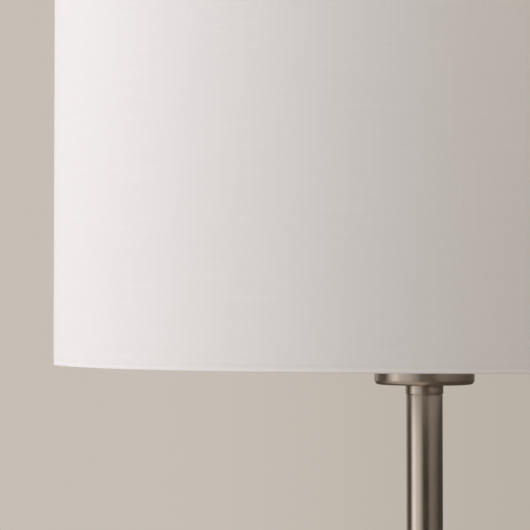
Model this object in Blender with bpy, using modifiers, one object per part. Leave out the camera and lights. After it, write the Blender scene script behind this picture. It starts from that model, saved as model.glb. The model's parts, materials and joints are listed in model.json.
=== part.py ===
"""Floor lamp with a fabric drum shade carried on a harp, modelled piece by piece.

Units are metres and +Z is up. The origin is on the floor, under the centre of the base.
The pole, the socket, the harp and the shade all stand on the Z axis.
"""
import math

import bmesh
import bpy
from mathutils import Matrix, Vector
from mathutils.geometry import interpolate_bezier

LAMP_COLLECTION = "drum_shade_floor_lamp"
CUTTER_COLLECTION = "cutters"

# Clearances
GAP = 0.0003  # between faces that touch
THREAD_GAP = 0.0004  # between a threaded piece and its hole, radially

# Facets round a turned piece
LARGE_STEPS = 64
MEDIUM_STEPS = 32
SMALL_STEPS = 20
FILLET_STEPS = 3
WIRE_SIDES = 6

# Overall sizes
RIM_Z = 1.220  # bottom rim of the shade above the floor
SHADE_RADIUS = 0.203
SHADE_HEIGHT = 0.280
POLE_RADIUS = 0.010
BASE_RADIUS = 0.140
BASE_TOP_Z = 0.024

# Base
PAD_THICKNESS = 0.0025
PAD_INSET = 0.004  # from the outside of the cover
COVER_WALL = 0.0016
COVER_EDGE_RADIUS = 0.008
COVER_SKIRT_Z = 0.0012  # the skirt stops this far above the floor
WEIGHT_INSET = 0.0035  # from the outside of the cover
WEIGHT_THICKNESS = 0.016
WEIGHT_BOSS_RADIUS = 0.026
WEIGHT_RECESS_RADIUS = 0.022  # room for the washer and the nut
WEIGHT_RECESS_DEPTH = 0.008
WASHER_RADIUS = 0.019
WASHER_THICKNESS = 0.002
NUT_WALL = 0.0029  # from the hole to the corners of the hexagon
NUT_THICKNESS = 0.004
FOOT_COLLAR_WALL = 0.0062
FOOT_COLLAR_HEIGHT = 0.006
GLAND_RADIUS = 0.0052  # the part that fills the hole in the skirt
GLAND_BORE = 0.0034
GLAND_FLANGE = 0.0078
GLAND_FLANGE_THICKNESS = 0.002
GLAND_DEPTH = 0.006
GLAND_Z = 0.0105

# Pole
POLE_WALL = 0.0010
POLE_SECTIONS = ("lower", "middle", "upper")
COUPLER_LENGTH = 0.050
COUPLER_BORE = 0.0060
FOOT_PLUG_LENGTH = 0.030
STUD_RADIUS = 0.0048  # the threaded tubes at the foot and at the head
STUD_BORE = 0.0034
FOOT_STUD_REACH = 0.024  # into the foot plug
HEAD_COLLAR_STEP = 0.0004  # wider than the pole
HEAD_COLLAR_HEIGHT = 0.005
HEAD_COLLAR_EDGE = 0.0008
HEAD_PLUG_LENGTH = 0.018
HEAD_STUD_REACH = 0.015  # below the collar

# Socket cup, seen as a disc just under the shade
CUP_RADIUS = 0.0275
CUP_DROP = 0.0114  # its underside is this far below the rim of the shade
CUP_HEIGHT = 0.015
CUP_WALL = 0.0012
CUP_EDGE_RADIUS = 0.0025
CUP_SPACER_WALL = 0.0023

# Socket
SADDLE_THICKNESS = 0.002
SADDLE_RIM = 0.0028  # of the bar round its middle hole
SADDLE_END_RADIUS = 0.005
SADDLE_MIDDLE_TURN = math.radians(50)  # where the straight edges meet the round middle
SADDLE_POST_HEIGHT = 0.018
SOCKET_WALL = 0.0006
CAP_WALL = 0.0008
CAP_HUB_WALL = 0.0034
CAP_HUB_HEIGHT = 0.009
CAP_HEIGHT = 0.013
CAP_CORNER_RADIUS = 0.0032
SHELL_HEIGHT = 0.048
LINER_WALL = 0.0006
CORE_HEIGHT = 0.018
CORE_FLOAT = 0.004  # the core stands this far above the floor of the cap
CORE_GAP = 0.0008  # between the core and the liner
TERMINAL_HEIGHT = 0.005  # of the terminal screws above the foot of the core
KEY_DEPTH = 0.0045  # of the key shaft below the top of the core
SCREW_SHELL_WALL = 0.0005
SCREW_SHELL_HEIGHT = 0.024
CONTACT_RADIUS = 0.0040
CONTACT_THICKNESS = 0.0005
KEY_SHAFT_RADIUS = 0.0018
KEY_LENGTH = 0.020  # from the shell out to the end of the paddle
KEY_PADDLE = (0.013, 0.0032, 0.011)  # width, thickness, length
SMALL_SCREW_RADIUS = 0.0015
SMALL_SCREW_HEAD = 0.0025
SMALL_SCREW_HEAD_THICKNESS = 0.0013
SMALL_SCREW_REACH = 0.004
SET_SCREW_RADIUS = 0.0019

# Bulb
BULB_CAP_RADIUS = 0.0131
BULB_CAP_WALL = 0.0005
BULB_CAP_HEIGHT = 0.023
BULB_CONTACT_RADIUS = 0.0045
BULB_CONTACT_HEIGHT = 0.002
BULB_INSULATOR_HEIGHT = 0.0035
BULB_RADIUS = 0.030
BULB_LENGTH = 0.108
BULB_NECK_LIP = 0.0019  # the neck stands out past the screw cap by this much
BULB_BODY_HEIGHT = 0.038

# Harp
HARP_HEIGHT = 0.254  # from the saddle to the seat of the shade
HARP_WIRE_RADIUS = 0.0020
HARP_LEG_CLEARANCE = 0.0102  # from the socket cap to the middle of a leg
HARP_HALF_WIDTH = 0.057
HARP_STRAIGHT = 0.026  # straight part of each leg, where its sleeve slides
HARP_CROWN_RADIUS = 0.0085
HARP_CROWN_THICKNESS = 0.005
SLEEVE_WALL = 0.0011
SLEEVE_LENGTH = 0.014
SWIVEL_SHANK_RADIUS = 0.0026
SWIVEL_HEAD_RADIUS = 0.0044
SWIVEL_HEAD_THICKNESS = 0.0020
SWIVEL_PLATE_RADIUS = 0.0105
SWIVEL_PLATE_THICKNESS = 0.0015
FINIAL_STUD_RADIUS = 0.00317
FINIAL_STUD_LENGTH = 0.0110

# Shade
FABRIC_THICKNESS = 0.0003
LINER_THICKNESS = 0.0006
RING_WIRE_RADIUS = 0.0009
RING_GAP = 0.00015  # the hem is rolled tightly over the wire rings
HEM_WRAP = math.radians(135)  # how far the hem turns round each ring
SPIDER_ARMS = 3
SPIDER_WIRE_RADIUS = 0.0014
SPIDER_HUB_RIM = 0.0028  # the hub is this much wider than the plate it sits on
SPIDER_HUB_THICKNESS = 0.002
SPIDER_FLAT_REACH = 0.020  # the arms leave the hub level for this far
SPIDER_BEND = 0.004  # either side of the knee

# Finial
FINIAL_INSERT_WALL = 0.0011
FINIAL_INSERT_HEIGHT = 0.010
FINIAL_FOOT_RADIUS = 0.0082
FINIAL_NECK_RADIUS = 0.0064
FINIAL_BALL_RADIUS = 0.0090
FINIAL_HEIGHT = 0.026

# Levels worked out from the sizes above, from the floor up
WEIGHT_Z = PAD_THICKNESS + GAP
COVER_UNDERSIDE_Z = BASE_TOP_Z - COVER_WALL
STUD_HOLE = STUD_RADIUS + THREAD_GAP
NUT_RADIUS = STUD_HOLE + NUT_WALL
CUP_SPACER_RADIUS = STUD_HOLE + CUP_SPACER_WALL
POLE_FOOT_Z = BASE_TOP_Z + GAP
POLE_BORE = POLE_RADIUS - POLE_WALL
PLUG_RADIUS = POLE_BORE - GAP
CUP_Z = RIM_Z - CUP_DROP
HEAD_COLLAR_TOP_Z = CUP_Z - GAP
HEAD_COLLAR_Z = HEAD_COLLAR_TOP_Z - HEAD_COLLAR_HEIGHT
POLE_TOP_Z = HEAD_COLLAR_Z - GAP
CUP_TOP_Z = CUP_Z + CUP_HEIGHT
SADDLE_Z = CUP_TOP_Z + GAP
SADDLE_TOP_Z = SADDLE_Z + SADDLE_THICKNESS
POST_TOP_Z = SADDLE_Z + SADDLE_POST_HEIGHT
SCREW_SHELL_BORE = BULB_CAP_RADIUS + THREAD_GAP
SCREW_SHELL_RADIUS = SCREW_SHELL_BORE + SCREW_SHELL_WALL
LINER_RADIUS = SCREW_SHELL_RADIUS + GAP + LINER_WALL
SOCKET_RADIUS = LINER_RADIUS + GAP + SOCKET_WALL
CAP_RADIUS = SOCKET_RADIUS + GAP + CAP_WALL
CAP_HUB_RADIUS = STUD_HOLE + CAP_HUB_WALL
CAP_Z = SADDLE_TOP_Z + GAP
CAP_FLOOR_Z = CAP_Z + CAP_HUB_HEIGHT + CAP_WALL
CAP_TOP_Z = CAP_Z + CAP_HUB_HEIGHT + CAP_HEIGHT
SHELL_Z = CAP_FLOOR_Z + CAP_CORNER_RADIUS - CAP_WALL
SHELL_TOP_Z = SHELL_Z + SHELL_HEIGHT
CORE_RADIUS = LINER_RADIUS - LINER_WALL - CORE_GAP
CORE_Z = CAP_FLOOR_Z + CORE_FLOAT
CORE_TOP_Z = CORE_Z + CORE_HEIGHT
KEY_Z = CORE_TOP_Z - KEY_DEPTH
TERMINAL_Z = CORE_Z + TERMINAL_HEIGHT
CONTACT_Z = CORE_TOP_Z + GAP
BULB_Z = CONTACT_Z + CONTACT_THICKNESS + GAP
BULB_INSULATOR_Z = BULB_Z + BULB_CONTACT_HEIGHT + GAP
BULB_CAP_Z = BULB_INSULATOR_Z + BULB_INSULATOR_HEIGHT + GAP
BULB_CAP_TOP_Z = BULB_CAP_Z + BULB_CAP_HEIGHT
BULB_BODY_TOP_Z = BULB_CAP_TOP_Z + GAP + BULB_BODY_HEIGHT
BULB_TOP_Z = BULB_Z + BULB_LENGTH
HARP_LEG_X = CAP_RADIUS + HARP_LEG_CLEARANCE
HARP_LEG_Z = POST_TOP_Z + GAP
CROWN_TOP_Z = SADDLE_Z + HARP_HEIGHT
CROWN_Z = CROWN_TOP_Z - HARP_CROWN_THICKNESS
SWIVEL_PLATE_TOP_Z = CROWN_TOP_Z + GAP + SWIVEL_PLATE_THICKNESS
HUB_Z = SWIVEL_PLATE_TOP_Z + GAP
HUB_TOP_Z = HUB_Z + SPIDER_HUB_THICKNESS
SPIDER_HUB_RADIUS = SWIVEL_PLATE_RADIUS + SPIDER_HUB_RIM
FINIAL_Z = HUB_TOP_Z + GAP
STUD_TOP_Z = SWIVEL_PLATE_TOP_Z + FINIAL_STUD_LENGTH
FINIAL_HOLE = FINIAL_STUD_RADIUS + THREAD_GAP
SHADE_TOP_Z = RIM_Z + SHADE_HEIGHT
HEM_RADIUS = RING_WIRE_RADIUS + RING_GAP + FABRIC_THICKNESS
RING_RADIUS = SHADE_RADIUS - HEM_RADIUS
LOWER_RING_Z = RIM_Z + HEM_RADIUS
UPPER_RING_Z = SHADE_TOP_Z - HEM_RADIUS

MATERIAL_FINISHES = {
    # name: colour, roughness, metallic
    "satin_nickel": ((0.42, 0.36, 0.31), 0.32, 1.0),
    "polished_brass": ((0.78, 0.60, 0.30), 0.28, 1.0),
    "zinc_steel": ((0.55, 0.55, 0.56), 0.40, 1.0),
    "cast_iron": ((0.10, 0.10, 0.10), 0.75, 0.6),
    "black_felt": ((0.03, 0.03, 0.03), 0.95, 0.0),
    "black_nylon": ((0.02, 0.02, 0.02), 0.45, 0.0),
    "phenolic": ((0.05, 0.045, 0.04), 0.50, 0.0),
    "pressboard": ((0.45, 0.36, 0.25), 0.90, 0.0),
    "white_fabric": ((0.84, 0.82, 0.80), 0.90, 0.0),
    "white_styrene": ((0.88, 0.87, 0.85), 0.55, 0.0),
    "white_enamel": ((0.85, 0.85, 0.84), 0.35, 0.0),
    "bulb_plastic": ((0.86, 0.86, 0.85), 0.40, 0.0),
    "opal_diffuser": ((0.90, 0.90, 0.88), 0.45, 0.0),
    "bulb_glass": ((0.03, 0.03, 0.04), 0.10, 0.0),
}


def clear_scene():
    for item in list(bpy.data.objects):
        bpy.data.objects.remove(item, do_unlink=True)


def add_collection(name):
    collection = bpy.data.collections.new(name)
    bpy.context.scene.collection.children.link(collection)
    return collection


def add_material(name, finish):
    colour, roughness, metallic = finish
    material = bpy.data.materials.new(name)
    material.use_nodes = True
    shader = material.node_tree.nodes["Principled BSDF"]
    shader.inputs["Base Color"].default_value = (*colour, 1.0)
    shader.inputs["Roughness"].default_value = roughness
    shader.inputs["Metallic"].default_value = metallic
    return material


clear_scene()
lamp = add_collection(LAMP_COLLECTION)
cutters = add_collection(CUTTER_COLLECTION)
materials = {name: add_material(name, finish) for name, finish in MATERIAL_FINISHES.items()}
bodies = {}


def add_body(name, parent=None, location=(0, 0, 0)):
    """An empty on the joint axis of a moving group."""
    body = bpy.data.objects.new(name, None)
    body.empty_display_size = 0.02
    lamp.objects.link(body)
    body.location = location
    if parent:
        body.parent = bodies[parent]
        body.matrix_parent_inverse = Matrix.Translation(-Vector(body_place(parent)))
    bodies[name] = body
    body["place"] = location


def body_place(name):
    return tuple(bodies[name]["place"])


def place(name, data, material, body, location=(0, 0, 0), rotation=(0, 0, 0)):
    """Add a piece by its world place, and hang it on its body's empty."""
    piece = bpy.data.objects.new(name, data)
    data.materials.clear()
    data.materials.append(materials[material])
    lamp.objects.link(piece)
    piece.parent = bodies[body]
    piece.matrix_parent_inverse = Matrix.Translation(-Vector(body_place(body)))
    piece.location = location
    piece.rotation_euler = rotation
    return piece


def place_cutter(name, data, location=(0, 0, 0), rotation=(0, 0, 0)):
    cutter = bpy.data.objects.new(name, data)
    cutters.objects.link(cutter)
    cutter.location = location
    cutter.rotation_euler = rotation
    cutter.hide_render = True
    cutter.display_type = "WIRE"
    return cutter


def rounded(corners, steps=FILLET_STEPS):
    """Profile points of a loop of corners (x, z, radius), each radius turned into an arc."""
    points = []
    for index, (x, z, radius) in enumerate(corners):
        corner = Vector((x, z))
        if not radius:
            points.append(corner)
            continue
        back = (Vector(corners[index - 1][:2]) - corner).normalized()
        ahead = (Vector(corners[(index + 1) % len(corners)][:2]) - corner).normalized()
        half_angle = back.angle(ahead) / 2
        centre = corner + (back + ahead).normalized() * radius / math.sin(half_angle)
        reach = radius / math.tan(half_angle)
        start = corner + back * reach - centre
        end = corner + ahead * reach - centre
        sweep = start.angle(end)
        for step in range(steps + 1):
            share = step / steps
            spoke = start * math.sin((1 - share) * sweep) + end * math.sin(share * sweep)
            points.append(centre + spoke / math.sin(sweep))
    return [tuple(point) for point in points]


def arc(centre_x, centre_z, radius, start, end, steps):
    """Points on an arc, from the start angle to the end angle, both ends included."""
    angles = [start + (end - start) * step / steps for step in range(steps + 1)]
    return [(centre_x + radius * math.cos(angle), centre_z + radius * math.sin(angle)) for angle in angles]


def screw(piece, steps):
    """Turn a profile once round the object's Z axis."""
    modifier = piece.modifiers.new("turn", "SCREW")
    modifier.axis = "Z"
    modifier.angle = math.tau
    modifier.steps = steps
    modifier.render_steps = steps
    modifier.use_merge_vertices = True
    modifier.merge_threshold = 0.00001
    modifier.use_smooth_shade = True


def profile_mesh(name, points, closed):
    """A profile at +X that runs down its outer side. An open one starts and ends on the axis."""
    edges = [(index, index + 1) for index in range(len(points) - 1)]
    if closed:
        edges.append((len(points) - 1, 0))
    mesh = bpy.data.meshes.new(name)
    mesh.from_pydata([(x, 0, z) for x, z in points], edges, [])
    return mesh


def turned(name, material, body, points, steps=MEDIUM_STEPS, closed=True, **where):
    piece = place(name, profile_mesh(name, points, closed), material, body, **where)
    screw(piece, steps)
    return piece


def tube(name, material, body, outer, inner, low, high, steps=MEDIUM_STEPS, **where):
    points = [(outer, high), (outer, low), (inner, low), (inner, high)]
    return turned(name, material, body, points, steps, **where)


def cylinder_mesh(name, radius, low, high, steps, top_radius=None):
    mesh = bpy.data.meshes.new(name)
    form = bmesh.new()
    bmesh.ops.create_cone(
        form, cap_ends=True, segments=steps, radius1=radius,
        radius2=radius if top_radius is None else top_radius, depth=high - low,
        matrix=Matrix.Translation((0, 0, (low + high) / 2)),
    )
    form.to_mesh(mesh)
    form.free()
    return mesh


def box_mesh(name, low, high):
    mesh = bpy.data.meshes.new(name)
    form = bmesh.new()
    size = [top - bottom for bottom, top in zip(low, high)]
    middle = [(top + bottom) / 2 for bottom, top in zip(low, high)]
    bmesh.ops.create_cube(form, size=1, matrix=Matrix.Translation(middle) @ Matrix.Diagonal((*size, 1)))
    form.to_mesh(mesh)
    form.free()
    return mesh


def boolean(piece, tool, operation="DIFFERENCE"):
    modifier = piece.modifiers.new(tool.name, "BOOLEAN")
    modifier.operation = operation
    modifier.solver = "EXACT"
    modifier.object = tool


def drill(piece, name, radius, low, high, steps=SMALL_STEPS, **where):
    """Cut a round hole along the cutter's own Z axis."""
    boolean(piece, place_cutter(name, cylinder_mesh(name, radius, low, high, steps), **where))


def wire_mesh(name, points, radius):
    """A capped round wire through the points, as a closed mesh."""
    curve = bpy.data.curves.new(name, "CURVE")
    curve.dimensions = "3D"
    curve.bevel_depth = radius
    curve.bevel_resolution = 2
    curve.use_fill_caps = True
    spline = curve.splines.new("POLY")
    spline.points.add(len(points) - 1)
    for spline_point, point in zip(spline.points, points):
        spline_point.co = (*point, 1)
    return mesh_from_curve(name, curve)


def mesh_from_curve(name, curve):
    """The mesh of a curve, with its loose caps welded on."""
    guide = bpy.data.objects.new(name + "_guide", curve)
    cutters.objects.link(guide)
    mesh = bpy.data.meshes.new_from_object(guide.evaluated_get(bpy.context.evaluated_depsgraph_get()))
    bpy.data.objects.remove(guide)
    form = bmesh.new()
    form.from_mesh(mesh)
    bmesh.ops.remove_doubles(form, verts=form.verts, dist=0.00001)
    form.to_mesh(mesh)
    form.free()
    mesh.name = name
    return mesh


def outline_mesh(name, outlines, low, high):
    """A flat plate with the given outlines; an inner outline is a hole."""
    curve = bpy.data.curves.new(name, "CURVE")
    curve.dimensions = "2D"
    curve.fill_mode = "BOTH"
    curve.extrude = (high - low) / 2
    for outline in outlines:
        spline = curve.splines.new("POLY")
        spline.points.add(len(outline) - 1)
        for spline_point, (x, y) in zip(spline.points, outline):
            spline_point.co = (x, y, 0, 1)
        spline.use_cyclic_u = True
    mesh = mesh_from_curve(name, curve)
    mesh.transform(Matrix.Translation((0, 0, (low + high) / 2)))
    return mesh


def circle(radius, steps, centre_x=0):
    return [(centre_x + x, y) for x, y in arc(0, 0, radius, 0, math.tau * (1 - 1 / steps), steps - 1)]


def make_bodies():
    add_body("stand")
    add_body("switch", "stand", (0, 0, KEY_Z))
    add_body("bulb_tip", "stand", (0, 0, BULB_Z))
    add_body("bulb", "bulb_tip", (0, 0, BULB_Z))
    add_body("harp", "stand", (0, 0, HARP_LEG_Z))
    add_body("left_sleeve", "harp", (-HARP_LEG_X, 0, HARP_LEG_Z))
    add_body("right_sleeve", "harp", (HARP_LEG_X, 0, HARP_LEG_Z))
    add_body("swivel", "harp", (0, 0, CROWN_TOP_Z))
    add_body("shade", "swivel", (0, 0, HUB_Z))
    add_body("finial_core", "shade", (0, 0, FINIAL_Z))
    add_body("finial", "finial_core", (0, 0, FINIAL_Z))


def make_base():
    """Weighted base: a spun cover over an iron disc, clamped by a nut under a threaded tube."""
    pad_radius = BASE_RADIUS - PAD_INSET
    turned("base_pad", "black_felt", "stand",
           [(0, PAD_THICKNESS), (pad_radius, PAD_THICKNESS), (pad_radius, 0), (0, 0)], closed=False)

    weight_radius = BASE_RADIUS - WEIGHT_INSET
    weight_top = WEIGHT_Z + WEIGHT_THICKNESS
    boss_top = COVER_UNDERSIDE_Z - GAP
    recess_top = WEIGHT_Z + WEIGHT_RECESS_DEPTH
    weight = turned("base_weight", "cast_iron", "stand", rounded([
        (STUD_HOLE, boss_top, 0), (WEIGHT_BOSS_RADIUS, boss_top, 0),
        (WEIGHT_BOSS_RADIUS, weight_top, 0), (weight_radius, weight_top, COVER_EDGE_RADIUS),
        (weight_radius, WEIGHT_Z, 0), (WEIGHT_RECESS_RADIUS, WEIGHT_Z, 0),
        (WEIGHT_RECESS_RADIUS, recess_top, 0), (STUD_HOLE, recess_top, 0)]))
    channel_half = GLAND_RADIUS + GAP * 2
    boolean(weight, place_cutter("lead_channel", box_mesh(
        "lead_channel", (-channel_half, STUD_RADIUS * 3, 0),
        (channel_half, BASE_RADIUS * 1.1, GLAND_Z + channel_half))))

    inner_radius = BASE_RADIUS - COVER_WALL
    cover = turned("base_cover", "satin_nickel", "stand", rounded([
        (STUD_HOLE, BASE_TOP_Z, 0), (BASE_RADIUS, BASE_TOP_Z, COVER_EDGE_RADIUS),
        (BASE_RADIUS, COVER_SKIRT_Z, 0), (inner_radius, COVER_SKIRT_Z, 0),
        (inner_radius, COVER_UNDERSIDE_Z, COVER_EDGE_RADIUS - COVER_WALL),
        (STUD_HOLE, COVER_UNDERSIDE_Z, 0)]), LARGE_STEPS)
    drill(cover, "gland_hole", GLAND_RADIUS + GAP, -GLAND_DEPTH, GLAND_DEPTH,
          location=(0, BASE_RADIUS, GLAND_Z), rotation=(-math.pi / 2, 0, 0))

    flange_start = GAP
    turned("lead_gland", "black_nylon", "stand", [
        (GLAND_FLANGE, flange_start + GLAND_FLANGE_THICKNESS), (GLAND_FLANGE, flange_start),
        (GLAND_RADIUS, flange_start), (GLAND_RADIUS, -GLAND_DEPTH),
        (GLAND_BORE, -GLAND_DEPTH), (GLAND_BORE, flange_start + GLAND_FLANGE_THICKNESS)],
        SMALL_STEPS, location=(0, BASE_RADIUS, GLAND_Z), rotation=(-math.pi / 2, 0, 0))

    washer_top = recess_top - GAP
    washer_bottom = washer_top - WASHER_THICKNESS
    tube("base_washer", "zinc_steel", "stand", WASHER_RADIUS, STUD_HOLE,
         washer_bottom, washer_top, SMALL_STEPS)
    nut_top = washer_bottom - GAP
    hex_nut("base_nut", nut_top - NUT_THICKNESS, nut_top)
    tube("base_stud", "zinc_steel", "stand", STUD_RADIUS, STUD_BORE,
         nut_top - NUT_THICKNESS - GAP, POLE_FOOT_Z + FOOT_STUD_REACH, SMALL_STEPS)

    collar_outer = POLE_RADIUS + FOOT_COLLAR_WALL
    collar_inner = POLE_RADIUS + GAP
    collar_top = POLE_FOOT_Z + FOOT_COLLAR_HEIGHT
    turned("foot_collar", "satin_nickel", "stand", rounded([
        (collar_inner, collar_top, 0), (collar_outer, collar_top, FOOT_COLLAR_HEIGHT / 2),
        (collar_outer, POLE_FOOT_Z, 0), (collar_inner, POLE_FOOT_Z, 0)]))


def hex_nut(name, low, high):
    nut = place(name, cylinder_mesh(name, NUT_RADIUS, low, high, 6), "zinc_steel", "stand")
    drill(nut, name + "_hole", STUD_HOLE, low - GAP * 10, high + GAP * 10)


def make_pole():
    """Three tubes screwed end to end, with a plug at the foot and a collared plug at the head."""
    section_length = (POLE_TOP_Z - POLE_FOOT_Z - GAP * (len(POLE_SECTIONS) - 1)) / len(POLE_SECTIONS)
    low = POLE_FOOT_Z
    for index, section in enumerate(POLE_SECTIONS):
        tube("pole_" + section, "satin_nickel", "stand", POLE_RADIUS, POLE_BORE, low, low + section_length)
        low += section_length + GAP
        if index < len(POLE_SECTIONS) - 1:
            joint_z = low - GAP / 2
            tube("coupler_" + section, "zinc_steel", "stand", PLUG_RADIUS, COUPLER_BORE,
                 joint_z - COUPLER_LENGTH / 2, joint_z + COUPLER_LENGTH / 2, SMALL_STEPS)

    tube("foot_plug", "zinc_steel", "stand", PLUG_RADIUS, STUD_HOLE,
         POLE_FOOT_Z, POLE_FOOT_Z + FOOT_PLUG_LENGTH, SMALL_STEPS)

    collar_radius = POLE_RADIUS + HEAD_COLLAR_STEP
    plug_bottom = HEAD_COLLAR_Z - HEAD_PLUG_LENGTH
    turned("head_collar", "satin_nickel", "stand", rounded([
        (collar_radius, HEAD_COLLAR_TOP_Z, 0), (collar_radius, HEAD_COLLAR_Z, HEAD_COLLAR_EDGE),
        (PLUG_RADIUS, HEAD_COLLAR_Z, 0), (PLUG_RADIUS, plug_bottom, 0),
        (STUD_HOLE, plug_bottom, 0), (STUD_HOLE, HEAD_COLLAR_TOP_Z, 0)]))
    tube("head_stud", "zinc_steel", "stand", STUD_RADIUS, STUD_BORE,
         HEAD_COLLAR_Z - HEAD_STUD_REACH, CAP_Z + CAP_HUB_HEIGHT, SMALL_STEPS)


def make_cup():
    """Drawn cup with a lid, a nut that holds it to the pole and a spacer under the lid."""
    floor_z = CUP_Z + CUP_WALL
    inner_radius = CUP_RADIUS - CUP_WALL
    turned("socket_cup", "satin_nickel", "stand", rounded([
        (CUP_RADIUS, CUP_TOP_Z, 0), (CUP_RADIUS, CUP_Z, CUP_EDGE_RADIUS),
        (STUD_HOLE, CUP_Z, 0), (STUD_HOLE, floor_z, 0),
        (inner_radius, floor_z, CUP_EDGE_RADIUS - CUP_WALL), (inner_radius, CUP_TOP_Z, 0)]))
    lid_z = CUP_TOP_Z - CUP_WALL
    tube("cup_lid", "satin_nickel", "stand", inner_radius - GAP, STUD_HOLE, lid_z, CUP_TOP_Z)
    nut_z = floor_z + GAP
    hex_nut("cup_nut", nut_z, nut_z + NUT_THICKNESS)
    tube("cup_spacer", "zinc_steel", "stand", CUP_SPACER_RADIUS, STUD_HOLE,
         nut_z + NUT_THICKNESS + GAP, lid_z - GAP, SMALL_STEPS)


def make_saddle():
    """Flat bar clamped under the socket, with a round post at each end for the harp."""
    middle_radius = STUD_HOLE + SADDLE_RIM
    middle = arc(0, 0, middle_radius, SADDLE_MIDDLE_TURN, math.pi - SADDLE_MIDDLE_TURN, 5)
    right_end = arc(HARP_LEG_X, 0, SADDLE_END_RADIUS, -math.pi / 2, math.pi / 2, 6)
    half_outline = right_end + middle
    outline = half_outline + [(-x, -y) for x, y in half_outline]
    saddle = place("harp_saddle", outline_mesh(
        "harp_saddle", [outline, circle(STUD_HOLE, SMALL_STEPS)], SADDLE_Z, SADDLE_TOP_Z),
        "polished_brass", "stand")
    for side, x in (("left", -HARP_LEG_X), ("right", HARP_LEG_X)):
        post = place_cutter(side + "_post", cylinder_mesh(
            side + "_post", HARP_WIRE_RADIUS, SADDLE_Z + GAP, POST_TOP_Z, SMALL_STEPS), location=(x, 0, 0))
        boolean(saddle, post, "UNION")


def make_socket():
    """Turn-key lampholder: cap, shell, paper liner, switch core, screw shell and contact."""
    cap_inner = CAP_RADIUS - CAP_WALL
    shoulder_z = CAP_FLOOR_Z - CAP_WALL
    cap = turned("socket_cap", "polished_brass", "stand", rounded([
        (CAP_RADIUS, CAP_TOP_Z, 0), (CAP_RADIUS, shoulder_z, CAP_CORNER_RADIUS),
        (CAP_HUB_RADIUS, shoulder_z, 0), (CAP_HUB_RADIUS, CAP_Z, 0), (STUD_HOLE, CAP_Z, 0),
        (STUD_HOLE, CAP_FLOOR_Z, 0), (cap_inner, CAP_FLOOR_Z, CAP_CORNER_RADIUS - CAP_WALL), (cap_inner, CAP_TOP_Z, 0)]))
    set_screw_z = CAP_Z + CAP_HUB_HEIGHT / 2
    facing_back = {"location": (0, 0, set_screw_z), "rotation": (-math.pi / 2, 0, 0)}
    drill(cap, "set_screw_hole", SET_SCREW_RADIUS + GAP, 0, CAP_HUB_RADIUS * 1.5, **facing_back)
    place("set_screw", cylinder_mesh(
        "set_screw", SET_SCREW_RADIUS, STUD_RADIUS + GAP, CAP_HUB_RADIUS + GAP * 4, SMALL_STEPS),
        "zinc_steel", "stand", **facing_back)

    facing_front = {"location": (0, 0, KEY_Z), "rotation": (math.pi / 2, 0, 0)}
    key_hole = KEY_SHAFT_RADIUS + THREAD_GAP * 2
    shell = tube("socket_shell", "polished_brass", "stand", SOCKET_RADIUS, SOCKET_RADIUS - SOCKET_WALL,
                 SHELL_Z, SHELL_TOP_Z)
    drill(shell, "shell_key_hole", key_hole, CORE_RADIUS, CAP_RADIUS * 1.2, **facing_front)
    liner = tube("socket_liner", "pressboard", "stand", LINER_RADIUS, LINER_RADIUS - LINER_WALL,
                 SHELL_Z + GAP, SHELL_TOP_Z - GAP * 2)
    drill(liner, "liner_key_hole", key_hole, CORE_RADIUS, CAP_RADIUS * 1.2, **facing_front)

    core = place("socket_core", cylinder_mesh("socket_core", CORE_RADIUS, CORE_Z, CORE_TOP_Z, MEDIUM_STEPS),
                 "phenolic", "stand")
    drill(core, "core_key_hole", KEY_SHAFT_RADIUS + GAP, CORE_RADIUS / 3, CAP_RADIUS, **facing_front)
    flat_x = LINER_RADIUS - LINER_WALL - SMALL_SCREW_HEAD_THICKNESS - GAP * 4
    for side, sign in (("left", -1), ("right", 1)):
        sideways = {"location": (0, 0, TERMINAL_Z), "rotation": (0, sign * math.pi / 2, 0)}
        flat_half = SMALL_SCREW_HEAD * 1.4
        boolean(core, place_cutter(side + "_terminal_flat", box_mesh(
            side + "_terminal_flat", (-flat_half, -CAP_RADIUS, flat_x),
            (flat_half, CAP_RADIUS, CAP_RADIUS)), **sideways))
        drill(core, side + "_terminal_hole", SMALL_SCREW_RADIUS + GAP,
              flat_x - SMALL_SCREW_REACH - GAP, CAP_RADIUS, **sideways)
        head_z = flat_x + GAP
        turned("terminal_screw_" + side, "polished_brass", "stand", [
            (0, head_z + SMALL_SCREW_HEAD_THICKNESS), (SMALL_SCREW_HEAD, head_z + SMALL_SCREW_HEAD_THICKNESS),
            (SMALL_SCREW_HEAD, head_z), (SMALL_SCREW_RADIUS, head_z),
            (SMALL_SCREW_RADIUS, flat_x - SMALL_SCREW_REACH), (0, flat_x - SMALL_SCREW_REACH)],
            SMALL_STEPS, closed=False, **sideways)

    tube("screw_shell", "polished_brass", "stand", SCREW_SHELL_RADIUS, SCREW_SHELL_BORE,
         CORE_TOP_Z + GAP, CORE_TOP_Z + GAP + SCREW_SHELL_HEIGHT)
    place("centre_contact", cylinder_mesh(
        "centre_contact", CONTACT_RADIUS, CONTACT_Z, CONTACT_Z + CONTACT_THICKNESS, SMALL_STEPS),
        "polished_brass", "stand")


def make_switch_key():
    """Paddle on a shaft that turns in the switch core and comes out of the front of the shell."""
    key_end = SOCKET_RADIUS + KEY_LENGTH
    width, thickness, length = KEY_PADDLE
    key = place("switch_key", cylinder_mesh(
        "switch_key", KEY_SHAFT_RADIUS, CORE_RADIUS / 3 + GAP, key_end - length / 2, SMALL_STEPS),
        "phenolic", "switch", location=(0, 0, KEY_Z), rotation=(math.pi / 2, 0, 0))
    boolean(key, place_cutter("key_paddle", box_mesh(
        "key_paddle", (-width / 2, -thickness / 2, key_end - length), (width / 2, thickness / 2, key_end)),
        location=(0, 0, KEY_Z), rotation=(math.pi / 2, 0, 0)), "UNION")


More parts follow.
